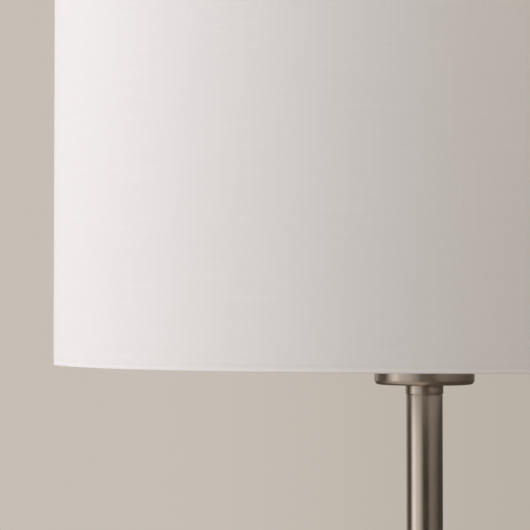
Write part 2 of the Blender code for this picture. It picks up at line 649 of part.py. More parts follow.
def make_bulb():
    """Screw-in bulb; its round tip rises with the thread while the rest of it turns."""
    place("bulb_contact", cylinder_mesh(
        "bulb_contact", BULB_CONTACT_RADIUS, BULB_Z, BULB_Z + BULB_CONTACT_HEIGHT, SMALL_STEPS),
        "polished_brass", "bulb_tip")
    place("bulb_insulator", cylinder_mesh(
        "bulb_insulator", BULB_CONTACT_RADIUS, BULB_INSULATOR_Z, BULB_INSULATOR_Z + BULB_INSULATOR_HEIGHT,
        SMALL_STEPS, top_radius=BULB_CAP_RADIUS * 0.8), "bulb_glass", "bulb")
    cap_bore = BULB_CAP_RADIUS - BULB_CAP_WALL
    tube("bulb_cap", "zinc_steel", "bulb", BULB_CAP_RADIUS, cap_bore, BULB_CAP_Z, BULB_CAP_TOP_Z)
    neck_radius = cap_bore - GAP
    shoulder_z = BULB_CAP_TOP_Z + GAP
    equator = BULB_RADIUS
    turned("bulb_body", "bulb_plastic", "bulb", [
        (0, BULB_BODY_TOP_Z), (equator * 0.95, BULB_BODY_TOP_Z),
        (equator * 0.80, shoulder_z + BULB_BODY_HEIGHT * 0.62),
        (equator * 0.62, shoulder_z + BULB_BODY_HEIGHT * 0.28), (BULB_CAP_RADIUS + BULB_NECK_LIP, shoulder_z),
        (neck_radius, shoulder_z), (neck_radius, BULB_CAP_Z + GAP), (0, BULB_CAP_Z + GAP)], closed=False)
    globe_z = BULB_BODY_TOP_Z + GAP
    globe_height = BULB_TOP_Z - globe_z
    belly_z = globe_z + globe_height * 0.30
    dome = [(BULB_RADIUS * math.cos(angle), belly_z + (BULB_TOP_Z - belly_z) * math.sin(angle))
            for angle in [math.pi / 2 * (1 - step / 6) for step in range(7)]]
    dome[0] = (0, BULB_TOP_Z)
    turned("bulb_globe", "opal_diffuser", "bulb",
           dome + [(equator * 0.95, globe_z), (0, globe_z)], closed=False)


def make_harp():
    """Wire loop with a crown for the swivel stud, and the sleeves that lock its legs."""
    crown_middle = (CROWN_Z + CROWN_TOP_Z) / 2
    bend_start = HARP_LEG_Z + HARP_STRAIGHT
    belly_z = bend_start + (crown_middle - bend_start) * 0.45
    leg_foot = Vector((HARP_LEG_X, 0, HARP_LEG_Z))
    bend = Vector((HARP_LEG_X, 0, bend_start))
    belly = Vector((HARP_HALF_WIDTH, 0, belly_z))
    top = Vector((0, 0, crown_middle))
    lower_reach = Vector((0, 0, (belly_z - bend_start) * 0.45))
    upper_reach = Vector((0, 0, (crown_middle - belly_z) * 0.60))
    half = ([leg_foot] + interpolate_bezier(bend, bend + lower_reach, belly - lower_reach, belly, 10)[:-1]
            + interpolate_bezier(belly, belly + upper_reach, Vector((HARP_HALF_WIDTH * 0.6, 0, crown_middle)),
                                 top, 12))
    mirrored = [Vector((-point.x, point.y, point.z)) for point in reversed(half[:-1])]
    harp = place("harp_loop", wire_mesh("harp_loop", half + mirrored, HARP_WIRE_RADIUS),
                 "polished_brass", "harp")
    boolean(harp, place_cutter("harp_crown", cylinder_mesh(
        "harp_crown", HARP_CROWN_RADIUS, CROWN_Z, CROWN_TOP_Z, SMALL_STEPS)), "UNION")
    drill(harp, "swivel_hole", SWIVEL_SHANK_RADIUS + GAP, CROWN_Z - GAP * 10, CROWN_TOP_Z + GAP * 10)

    sleeve_bore = HARP_WIRE_RADIUS + GAP
    for side, x in (("left", -HARP_LEG_X), ("right", HARP_LEG_X)):
        tube("harp_sleeve_" + side, "polished_brass", side + "_sleeve", sleeve_bore + SLEEVE_WALL, sleeve_bore,
             POST_TOP_Z - SLEEVE_LENGTH / 2, POST_TOP_Z + SLEEVE_LENGTH / 2, SMALL_STEPS, location=(x, 0, 0))

    plate_z = CROWN_TOP_Z + GAP
    head_top = CROWN_Z - GAP
    turned("swivel_stud", "polished_brass", "swivel", [
        (0, STUD_TOP_Z), (FINIAL_STUD_RADIUS, STUD_TOP_Z), (FINIAL_STUD_RADIUS, SWIVEL_PLATE_TOP_Z),
        (SWIVEL_PLATE_RADIUS, SWIVEL_PLATE_TOP_Z), (SWIVEL_PLATE_RADIUS, plate_z),
        (SWIVEL_SHANK_RADIUS, plate_z), (SWIVEL_SHANK_RADIUS, head_top), (SWIVEL_HEAD_RADIUS, head_top),
        (SWIVEL_HEAD_RADIUS, head_top - SWIVEL_HEAD_THICKNESS), (0, head_top - SWIVEL_HEAD_THICKNESS)],
        SMALL_STEPS, closed=False)


def make_shade():
    """Drum of fabric over a stiff liner, its hems rolled over two wire rings, and its spider."""
    outer = HEM_RADIUS
    inner = HEM_RADIUS - FABRIC_THICKNESS
    hem_steps = FILLET_STEPS
    profile = (arc(RING_RADIUS, UPPER_RING_Z, outer, HEM_WRAP, 0, hem_steps)
               + arc(RING_RADIUS, LOWER_RING_Z, outer, 0, -HEM_WRAP, hem_steps)
               + arc(RING_RADIUS, LOWER_RING_Z, inner, -HEM_WRAP, 0, hem_steps)
               + arc(RING_RADIUS, UPPER_RING_Z, inner, 0, HEM_WRAP, hem_steps))
    turned("shade_fabric", "white_fabric", "shade", profile, LARGE_STEPS)

    liner_outer = SHADE_RADIUS - FABRIC_THICKNESS - GAP
    clear_of_ring = RING_WIRE_RADIUS + GAP
    tube("shade_liner", "white_styrene", "shade", liner_outer, liner_outer - LINER_THICKNESS,
         LOWER_RING_Z + clear_of_ring, UPPER_RING_Z - clear_of_ring, LARGE_STEPS)

    for name, ring_z in (("shade_upper_ring", UPPER_RING_Z), ("shade_lower_ring", LOWER_RING_Z)):
        section = arc(RING_RADIUS, ring_z, RING_WIRE_RADIUS, 0, -math.tau * (1 - 1 / WIRE_SIDES), WIRE_SIDES - 1)
        turned(name, "white_enamel", "shade", section, LARGE_STEPS)

    spider = tube("shade_spider", "white_enamel", "shade", SPIDER_HUB_RADIUS, FINIAL_HOLE, HUB_Z, HUB_TOP_Z,
                  SMALL_STEPS)
    hub_middle = (HUB_Z + HUB_TOP_Z) / 2
    hold = SWIVEL_PLATE_RADIUS + GAP * 2
    knee = SPIDER_HUB_RADIUS + SPIDER_FLAT_REACH
    end = RING_RADIUS - RING_WIRE_RADIUS - GAP * 2
    end_z = UPPER_RING_Z - RING_WIRE_RADIUS
    for index in range(SPIDER_ARMS):
        name = f"spider_arm_{index + 1}"
        bend = [Vector((knee - SPIDER_BEND, 0, hub_middle)), Vector((knee, 0, hub_middle))]
        slope = (Vector((end, 0, end_z)) - bend[1]).normalized()
        route = [Vector((hold, 0, hub_middle)), *interpolate_bezier(
            bend[0], bend[1], bend[1], bend[1] + slope * SPIDER_BEND, 4), Vector((end, 0, end_z))]
        arm = place_cutter(name, wire_mesh(name, route, SPIDER_WIRE_RADIUS),
                           rotation=(0, 0, math.pi / 2 + math.tau * index / SPIDER_ARMS))
        boolean(spider, arm, "UNION")


def make_finial():
    """Knob that screws down over the stud; its threaded insert rises while the knob turns."""
    insert_radius = FINIAL_HOLE + FINIAL_INSERT_WALL
    tube("finial_insert", "polished_brass", "finial_core", insert_radius, FINIAL_HOLE,
         FINIAL_Z, FINIAL_Z + FINIAL_INSERT_HEIGHT, SMALL_STEPS)
    bore = insert_radius + GAP
    bore_top = max(STUD_TOP_Z, FINIAL_Z + FINIAL_INSERT_HEIGHT) + GAP * 2
    top_z = FINIAL_Z + FINIAL_HEIGHT
    ball_z = top_z - FINIAL_BALL_RADIUS
    foot_height = FINIAL_HEIGHT * 0.12
    neck_angle = -math.acos(FINIAL_NECK_RADIUS / FINIAL_BALL_RADIUS)
    ball = arc(0, ball_z, FINIAL_BALL_RADIUS, math.pi / 2, neck_angle, 8)
    ball[0] = (0, top_z)
    turned("finial_knob", "satin_nickel", "finial", ball + [
        (FINIAL_NECK_RADIUS, FINIAL_Z + foot_height), (FINIAL_FOOT_RADIUS, FINIAL_Z + foot_height),
        (FINIAL_FOOT_RADIUS, FINIAL_Z), (bore, FINIAL_Z), (bore, bore_top), (0, bore_top)],
        SMALL_STEPS, closed=False)


make_bodies()
make_base()
make_pole()
make_cup()
make_saddle()
make_socket()
make_switch_key()
make_bulb()
make_harp()
make_shade()
make_finial()
bpy.context.view_layer.update()
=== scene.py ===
import json
import math

import bmesh
import bpy
from mathutils import Matrix, Vector
from mathutils.geometry import interpolate_bezier


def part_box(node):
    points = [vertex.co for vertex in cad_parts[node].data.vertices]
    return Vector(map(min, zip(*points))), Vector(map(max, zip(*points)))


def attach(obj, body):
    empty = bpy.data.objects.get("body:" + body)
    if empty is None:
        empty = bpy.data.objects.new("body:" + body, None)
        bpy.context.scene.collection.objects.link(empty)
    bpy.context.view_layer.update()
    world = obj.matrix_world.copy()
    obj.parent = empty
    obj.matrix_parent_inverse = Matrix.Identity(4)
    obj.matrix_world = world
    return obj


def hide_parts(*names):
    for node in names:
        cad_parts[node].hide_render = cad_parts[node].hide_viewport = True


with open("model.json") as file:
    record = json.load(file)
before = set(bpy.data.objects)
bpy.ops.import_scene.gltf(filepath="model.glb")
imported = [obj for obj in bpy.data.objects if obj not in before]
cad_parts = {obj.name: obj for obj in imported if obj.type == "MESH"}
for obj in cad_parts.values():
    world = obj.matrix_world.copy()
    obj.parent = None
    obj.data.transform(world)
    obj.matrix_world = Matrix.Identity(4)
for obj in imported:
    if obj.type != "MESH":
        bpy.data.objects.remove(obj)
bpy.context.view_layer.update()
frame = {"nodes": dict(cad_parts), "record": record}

scene = bpy.context.scene
inch = 0.0254
sharpAngle = math.radians(32)
softEdge = 0.0003                              # fillet on a broken edge
print("frame loaded:", len(frame["nodes"]), "nodes")


class Wire:                                    # one socket, used in sums as if it were a number
    def __init__(self, bench, socket):
        self.bench, self.socket = bench, socket

    def maths(self, operation, *terms, **settings):
        return self.bench.node("ShaderNodeMath", {"operation": operation, **settings},
                               dict(enumerate(terms)))

    def __add__(self, other):
        return self.maths("ADD", self, other)

    def __radd__(self, other):
        return self.maths("ADD", other, self)

    def __sub__(self, other):
        return self.maths("SUBTRACT", self, other)

    def __rsub__(self, other):
        return self.maths("SUBTRACT", other, self)

    def __mul__(self, other):
        return self.maths("MULTIPLY", self, other)

    def __rmul__(self, other):
        return self.maths("MULTIPLY", other, self)

    def __truediv__(self, other):
        return self.maths("DIVIDE", self, other)

    def __pow__(self, other):
        return self.maths("POWER", self, other)

    def __abs__(self):
        return self.maths("ABSOLUTE", self)

    def sine(self):
        return self.maths("SINE", self)

    def cosine(self):
        return self.maths("COSINE", self)

    def kept(self):                            # held between 0 and 1
        return self.maths("ADD", self, 0.0, use_clamp=True)

    def ramp(self, start, end):                # 0 at start, 1 at end, eased
        return self.bench.node("ShaderNodeMapRange", {"interpolation_type": "SMOOTHSTEP"}, {
            "Value": self, "From Min": start, "From Max": end})

    def at(self, output):                      # another output of the same node
        return Wire(self.bench, self.socket.node.outputs[output])


class Bench:                                   # adds nodes to one tree
    def __init__(self, tree):
        self.tree = tree

    def node(self, kind, settings=None, inputs=None, output=0):
        made = self.tree.nodes.new(kind)
        for key, value in (settings or {}).items():
            if key == "stops":
                stops = made.color_ramp.elements
                while len(stops) < len(value):
                    stops.new(1.0)
                for stop, (position, level) in zip(stops, value):
                    stop.position, stop.color = position, (level, level, level, 1.0)
            else:
                setattr(made, key, value)
        for key, value in (inputs or {}).items():
            if isinstance(value, Wire):
                self.tree.links.new(value.socket, made.inputs[key])
            else:
                made.inputs[key].default_value = value
        return Wire(self, made.outputs[output]) if made.outputs else made

    def vector(self, x, y, z):
        return self.node("ShaderNodeCombineXYZ", None, {0: x, 1: y, 2: z})

    def axes(self, vector):
        split = self.node("ShaderNodeSeparateXYZ", None, {0: vector})
        return split.at("X"), split.at("Y"), split.at("Z")

    def mixColour(self, factor, first, second, blend="MIX"):
        return self.node("ShaderNodeMix", {"data_type": "RGBA", "blend_type": blend},
                         {0: factor, 6: first, 7: second}, 2)


class Finish(Bench):                           # one material
    def __init__(self, name):
        self.material = bpy.data.materials.new(name)
        self.material.use_nodes = True
        super().__init__(self.material.node_tree)
        self.tree.nodes.clear()
        self.place = self.node("ShaderNodeTexCoord", output="Object")

    def tint(self, factor, look):              # from the look's dark tone to its light one
        return self.mixColour(factor, rgb(*look["dark"]), rgb(*look["light"]))

    def noise(self, vector, scale=1.0, detail=2.0, rough=0.5):
        return self.node("ShaderNodeTexNoise", None, {
            "Vector": vector, "Scale": scale, "Detail": detail, "Roughness": rough})

    def cells(self, scale):
        return self.node("ShaderNodeTexVoronoi", None, {"Vector": self.place, "Scale": scale})

    def shade(self, colour, roughness, height=None, depth=0.0, **fixed):
        inputs = {"Base Color": colour, "Roughness": roughness}
        if height is not None:
            inputs["Normal"] = self.node("ShaderNodeBump", None, {
                "Height": height, "Distance": depth, "Strength": 1.0})
        for key, value in fixed.items():
            inputs[fixedSockets[key]] = value
        surface = self.node("ShaderNodeBsdfPrincipled", None, inputs)
        self.node("ShaderNodeOutputMaterial", None, {"Surface": surface})
        return self.material


fixedSockets = {"metal": "Metallic", "anisotropy": "Anisotropic", "grooveTurn": "Anisotropic Rotation",
                "sheen": "Sheen Weight", "sheenRough": "Sheen Roughness", "coat": "Coat Weight",
                "coatRough": "Coat Roughness", "level": "Specular IOR Level"}


def rgb(red, green, blue):
    return (red, green, blue, 1.0)


def turnedMetal(name, look):                   # metal brushed round the Z axis
    finish = Finish(name)
    x, y, z = finish.axes(finish.place)
    radius = (x * x + y * y) ** 0.5
    lines = finish.noise(finish.vector(radius * look["linesPerMetre"], z * look["linesPerMetre"],
                                       (x + y) * look["lineBreaks"]), 1.0, 3.0, 0.65)
    cloud = finish.noise(finish.place, look["cloudScale"], 3.0, 0.55)
    marks = finish.noise(finish.vector(x * 90, y * 90, z * 22), 1.0, 4.0, 0.7).ramp(0.60, 0.78)
    colour = finish.tint(cloud * 0.6 + lines * 0.4, look)
    roughness = look["rough"] + (lines - 0.5) * look["roughLines"] + (cloud - 0.5) * look["roughCloud"] \
        + marks * look["roughMarks"]
    return finish.shade(colour, roughness, lines, look["lineDepth"], metal=1.0,
                        anisotropy=look["anisotropy"], grooveTurn=0.25, level=0.5)


nickelLook = {
    "dark": (0.575, 0.505, 0.435), "light": (0.655, 0.580, 0.505), "rough": 0.235, "roughLines": 0.08,
    "roughCloud": 0.04, "roughMarks": 0.03, "linesPerMetre": 5200, "lineBreaks": 9, "lineDepth": 0.000004,
    "cloudScale": 55, "anisotropy": 0.70}
brassLook = {
    "dark": (0.66, 0.47, 0.20), "light": (0.80, 0.60, 0.29), "rough": 0.20, "roughLines": 0.07,
    "roughCloud": 0.08, "roughMarks": 0.10, "linesPerMetre": 3600, "lineBreaks": 14, "lineDepth": 0.000003,
    "cloudScale": 90, "anisotropy": 0.35}
zincLook = {
    "dark": (0.44, 0.45, 0.47), "light": (0.60, 0.60, 0.60), "rough": 0.36, "roughLines": 0.08,
    "roughCloud": 0.18, "roughMarks": 0.14, "linesPerMetre": 2600, "lineBreaks": 20, "lineDepth": 0.000004,
    "cloudScale": 260, "anisotropy": 0.25}


def wovenLinen(name, look):                    # plain weave with thicker threads here and there
    finish = Finish(name)
    around, across, _ = finish.axes(finish.node("ShaderNodeUVMap", {"uv_map": "UVMap"}))
    sway = finish.noise(finish.vector(around * 9, across * 9, 0.0), 1.0, 2.0) * look["sway"]
    warp = ((around + sway) * (math.pi / look["threadPitch"])).sine()
    weft = ((across + sway) * (math.pi / look["threadPitch"])).sine()
    over = (warp * weft * 2.5 + 0.5).kept()
    thread = abs(weft) + over * (abs(warp) - abs(weft))
    weftSlub = finish.noise(finish.vector(around * 16, across * 1050, 3.0), 1.0, 2.0, 0.6)
    warpSlub = finish.noise(finish.vector(around * 1050, across * 16, 8.0), 1.0, 2.0, 0.6)
    slub = weftSlub.ramp(0.42, 0.80) * look["weftSlub"] + warpSlub.ramp(0.48, 0.82) * look["warpSlub"]
    tone = (slub + thread * 0.25 + finish.noise(finish.place, 7.0, 2.0) * 0.35).kept()
    colour = finish.tint(tone, look)
    height = thread * 0.55 + slub
    return finish.shade(colour, 0.86 + slub * 0.08, height, look["threadDepth"], sheen=look["sheen"],
                        sheenRough=0.4, level=0.25)


linenLook = {
    "threadPitch": 0.00048, "threadDepth": 0.000026, "sway": 0.0004, "weftSlub": 0.30, "warpSlub": 0.26,
    "dark": (0.800, 0.792, 0.782), "light": (0.862, 0.856, 0.848), "sheen": 0.10}


def styreneSheet(name, look):
    finish = Finish(name)
    flow = finish.noise(finish.place, 40.0, 3.0)
    pebble = finish.noise(finish.place, look["pebbleScale"], 2.0)
    colour = finish.tint(flow, look)
    return finish.shade(colour, look["rough"] + (pebble - 0.5) * 0.18, pebble, look["pebbleDepth"], level=0.45)


styreneLook = {"dark": (0.80, 0.79, 0.765), "light": (0.86, 0.855, 0.835), "rough": 0.42,
               "pebbleScale": 1500, "pebbleDepth": 0.00001}
bodyPlasticLook = {"dark": (0.76, 0.76, 0.75), "light": (0.83, 0.83, 0.82), "rough": 0.36,
                   "pebbleScale": 2600, "pebbleDepth": 0.000012}


def powderCoat(name, look):
    finish = Finish(name)
    peel = finish.noise(finish.place, look["peelScale"], 2.0)
    dust = finish.noise(finish.place, 120.0, 4.0).ramp(0.55, 0.75)
    colour = finish.mixColour(dust * 0.5, rgb(*look["colour"]), rgb(*look["dusty"]))
    return finish.shade(colour, look["rough"] + dust * 0.15, peel, look["peelDepth"],
                        coat=look["coat"], coatRough=0.2)


enamelLook = {"colour": (0.83, 0.82, 0.80), "dusty": (0.74, 0.72, 0.68), "rough": 0.34, "coat": 0.25,
              "peelScale": 900, "peelDepth": 0.00002}


def mouldedDark(name, look):                   # black nylon, phenolic and the glass seal of the bulb
    finish = Finish(name)
    grain = finish.noise(finish.place, look["grainScale"], 3.0, 0.6)
    fleck = finish.cells(look["fleckScale"]).at("Distance").ramp(0.10, 0.02)
    colour = finish.tint((grain * 0.6 + fleck * 0.4).kept(), look)
    return finish.shade(colour, look["rough"] + (grain - 0.5) * 0.2, grain, look["grainDepth"],
                        coat=look["coat"], coatRough=0.12)


nylonLook = {"dark": (0.012, 0.012, 0.013), "light": (0.034, 0.034, 0.036), "rough": 0.46, "coat": 0.0,
             "grainScale": 1900, "fleckScale": 900, "grainDepth": 0.00003}
phenolicLook = {"dark": (0.016, 0.013, 0.011), "light": (0.060, 0.050, 0.042), "rough": 0.30, "coat": 0.35,
                "grainScale": 700, "fleckScale": 500, "grainDepth": 0.000012}
sealLook = {"dark": (0.010, 0.010, 0.014), "light": (0.030, 0.030, 0.040), "rough": 0.12, "coat": 0.6,
            "grainScale": 300, "fleckScale": 200, "grainDepth": 0.000006}


def ironCasting(name, look):
    finish = Finish(name)
    sand = finish.noise(finish.place, look["sandScale"], 5.0, 0.7)
    pits = finish.cells(look["pitScale"]).at("Distance").ramp(0.0, 0.35)
    rust = finish.noise(finish.place, 30.0, 4.0, 0.6).ramp(0.58, 0.70)
    primer = finish.tint(sand, look)
    colour = finish.mixColour(rust * 0.5, primer, rgb(*look["rust"]))
    return finish.shade(colour, 0.68 + rust * 0.2, sand * 0.6 + pits * 0.4, look["sandDepth"], metal=0.15)


ironLook = {"dark": (0.030, 0.030, 0.032), "light": (0.085, 0.083, 0.080), "rust": (0.16, 0.07, 0.03),
            "sandScale": 600, "pitScale": 320, "sandDepth": 0.00012}


def needledFelt(name, look):
    finish = Finish(name)
    x, y, z = finish.axes(finish.place)
    fibre = finish.noise(finish.vector(x * 900, y * 240, z * 700), 1.0, 4.0, 0.75)
    cross = finish.noise(finish.vector(x * 240, y * 900, z * 700), 1.0, 4.0, 0.75)
    nap = (fibre + cross) * 0.5
    lint = finish.cells(260.0).at("Distance").ramp(0.08, 0.03)
    colour = finish.tint((nap + lint * 0.3).kept(), look)
    return finish.shade(colour, 0.93, nap, look["napDepth"], sheen=look["sheen"], sheenRough=0.6, level=0.1)


feltLook = {"dark": (0.010, 0.010, 0.011), "light": (0.055, 0.054, 0.056), "napDepth": 0.0003, "sheen": 0.5}


def pressedBoard(name, look):
    finish = Finish(name)
    x, y, z = finish.axes(finish.place)
    pulp = finish.noise(finish.vector(x * 500, y * 500, z * 170), 1.0, 5.0, 0.7)
    fleck = finish.cells(420.0).at("Distance").ramp(0.16, 0.05)
    colour = finish.tint((pulp * 0.7 + fleck * 0.3).kept(), look)
    return finish.shade(colour, 0.88, pulp, look["pulpDepth"], level=0.2)


boardLook = {"dark": (0.26, 0.18, 0.105), "light": (0.47, 0.36, 0.235), "pulpDepth": 0.00006}


def frostedDome(name, look):
    finish = Finish(name)
    frost = finish.noise(finish.place, look["frostScale"], 2.0)
    glow = finish.noise(finish.place, 18.0, 1.0)
    colour = finish.tint(glow, look)
    return finish.shade(colour, look["rough"] + (frost - 0.5) * 0.1, frost, 0.000008, coat=0.15, coatRough=0.35)


domeLook = {"dark": (0.84, 0.83, 0.80), "light": (0.90, 0.895, 0.875), "rough": 0.40, "frostScale": 2400}

finishes = {
    "satin_nickel": turnedMetal("satinNickel", nickelLook),
    "polished_brass": turnedMetal("lacqueredBrass", brassLook),
    "zinc_steel": turnedMetal("zincPlate", zincLook),
    "cast_iron": ironCasting("primedIron", ironLook),
    "black_felt": needledFelt("needledFelt", feltLook),
    "black_nylon": mouldedDark("mouldedNylon", nylonLook),
    "phenolic": mouldedDark("phenolicMoulding", phenolicLook),
    "pressboard": pressedBoard("pressedBoard", boardLook),
    "white_fabric": wovenLinen("wovenLinen", linenLook),
    "white_styrene": styreneSheet("styreneSheet", styreneLook),
    "white_enamel": powderCoat("powderCoat", enamelLook),
    "bulb_plastic": styreneSheet("bulbPlastic", bodyPlasticLook),
    "opal_diffuser": frostedDome("frostedDome", domeLook),
    "bulb_glass": mouldedDark("blackGlassSeal", sealLook)}
print("finishes made:", len(finishes))


def rounded(corners, steps=5):                 # corners (radius, height, fillet) to profile points
    points = []
    for index, (r, z, fillet) in enumerate(corners):
        corner = Vector((r, z))
        if not fillet:
            points.append((r, z))
            continue
        back = (Vector(corners[index - 1][:2]) - corner).normalized()
        ahead = (Vector(corners[(index + 1) % len(corners)][:2]) - corner).normalized()
        half = back.angle(ahead) / 2
        centre = corner + (back + ahead).normalized() * fillet / math.sin(half)
        start = corner + back * fillet / math.tan(half) - centre
        end = corner + ahead * fillet / math.tan(half) - centre
        sweep = start.angle(end)
        for step in range(steps + 1):
            share = step / steps
            spoke = start * math.sin((1 - share) * sweep) + end * math.sin(share * sweep)
            points.append(tuple(centre + spoke / math.sin(sweep)))
    return points


def arc(r, z, radius, start, end, steps):      # angles in degrees
    turns = [math.radians(start + (end - start) * step / steps) for step in range(steps + 1)]
    return [(r + radius * math.cos(turn), z + radius * math.sin(turn)) for turn in turns]


def smoothed(mesh):
    mesh.shade_smooth()
    mesh.set_sharp_from_angle(angle=sharpAngle)
    return mesh


def newMesh(name, form):
    bmesh.ops.recalc_face_normals(form, faces=form.faces)
    mesh = bpy.data.meshes.new(name)
    form.to_mesh(mesh)
    form.free()
    return smoothed(mesh)


def bridge(form, first, second):               # a band of faces between two rings
    for index in range(len(first)):
        following = (index + 1) % len(first)
        form.faces.new((first[index], first[following], second[following], second[index]))


def latheInto(form, points, steps, closed=True, matrix=None):
    rings = []
    for r, z in points:
        if r < 1e-7:
            rings.append([form.verts.new((0, 0, z))])
            continue
        rings.append([form.verts.new((r * math.cos(math.tau * step / steps),
                                      r * math.sin(math.tau * step / steps), z)) for step in range(steps)])
    pairs = list(zip(rings, rings[1:])) + ([(rings[-1], rings[0])] if closed else [])
    for upper, lower in pairs:
        for step in range(steps):
            following = (step + 1) % steps
            corners = ([upper[0]] if len(upper) == 1 else [upper[step], upper[following]]) \
                + ([lower[0]] if len(lower) == 1 else [lower[following], lower[step]])
            if len(corners) > 2:
                form.faces.new(corners)
    if matrix is not None:
        bmesh.ops.transform(form, matrix=matrix, verts=[vert for ring in rings for vert in ring])
    return form


def tubeInto(form, route, radius, sides=16):   # a capped round bar along a route
    points = [Vector(point) for point in route]
    rings = []
    across = None
    for index, point in enumerate(points):
        ahead = (points[min(index + 1, len(points) - 1)] - points[max(index - 1, 0)]).normalized()
        if across is None:
            across = ahead.orthogonal().normalized()
        across = (across - ahead * across.dot(ahead)).normalized()
        other = ahead.cross(across)
        rings.append([form.verts.new(point + (across * math.cos(math.tau * side / sides)
                                              + other * math.sin(math.tau * side / sides)) * radius)
                      for side in range(sides)])
    for first, second in zip(rings, rings[1:]):
        bridge(form, first, second)
    form.faces.new(rings[0])
    form.faces.new(rings[-1])
    return form


def boxInto(form, low, high, matrix=None):
    size = [b - a for a, b in zip(low, high)]
    middle = [(a + b) / 2 for a, b in zip(low, high)]
    made = bmesh.ops.create_cube(form, size=1.0,
                                 matrix=Matrix.Translation(middle) @ Matrix.Diagonal((*size, 1)))
    if matrix is not None:
        bmesh.ops.transform(form, matrix=matrix, verts=made["verts"])
    return form


def newPiece(name, form, slot):
    mesh = newMesh(name, form)
    mesh.materials.append(finishes[slot])
    piece = bpy.data.objects.new(name, mesh)
    scene.collection.objects.link(piece)
    return piece


def fit(piece, body, slot, *nodes):            # rides on a body and stands for CAD nodes
    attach(piece, body)
    if nodes:
        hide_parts(*nodes)
    return piece


def settle(piece):                             # live modifiers become plain mesh
    depsgraph = bpy.context.evaluated_depsgraph_get()
    mesh = bpy.data.meshes.new_from_object(piece.evaluated_get(depsgraph))
    mesh.name = piece.name
    piece.modifiers.clear()
    piece.data = mesh
    return piece


def lathed(name, slot, points, steps, closed=True, turn=None):
    return newPiece(name, latheInto(bmesh.new(), points, steps, closed, turn), slot)


def drill(piece, name, slot, points, steps, turn):     # takes a lathed plug out of a piece
    plug = lathed(name, slot, points, steps, False, turn)
    cut = piece.modifiers.new(name, "BOOLEAN")
    cut.operation, cut.solver, cut.object = "DIFFERENCE", "EXACT", plug
    settle(piece)
    bpy.data.objects.remove(plug)
    smoothed(piece.data)


def turnedPiece(name, body, slot, points, nodes=(), steps=96, closed=True, matrix=None):
    return fit(lathed(name, slot, points, steps, closed, matrix), body, slot, *nodes)


def zSpan(node):                               # lowest and highest z, and the radius about the Z axis
    low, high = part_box(node)
    return low.z, high.z, high.x


def newTree(name, sockets):
    tree = bpy.data.node_groups.new(name, "GeometryNodeTree")
    tree.interface.new_socket("Geometry", in_out="INPUT", socket_type="NodeSocketGeometry")
    tree.interface.new_socket("Geometry", in_out="OUTPUT", socket_type="NodeSocketGeometry")
    for title, kind in sockets.items():
        tree.interface.new_socket(title, in_out="INPUT", socket_type="NodeSocket" + kind)
    bench = Bench(tree)
    return tree, bench, bench.node("NodeGroupInput")


def closeTree(bench, geometry, given):         # every tree ends the same way
    smooth = bench.node("GeometryNodeSetShadeSmooth", None, {"Geometry": geometry})
    whole = bench.node("GeometryNodeRealizeInstances", None, {"Geometry": smooth})
    painted = bench.node("GeometryNodeSetMaterial", None, {"Geometry": whole, "Material": given.at("Material")})
    bench.node("NodeGroupOutput", None, {"Geometry": painted})


def runTree(name, tree, values, mesh=None):    # the tree's result as a plain mesh on a new piece
    piece = bpy.data.objects.new(name, mesh or bpy.data.meshes.new(name + "Start"))
    scene.collection.objects.link(piece)
    modifier = piece.modifiers.new(tree.name, "NODES")
    modifier.node_group = tree
    for item in tree.interface.items_tree:
        if item.in_out == "INPUT" and item.name in values:
            modifier[item.identifier] = values[item.name]
    return settle(piece)


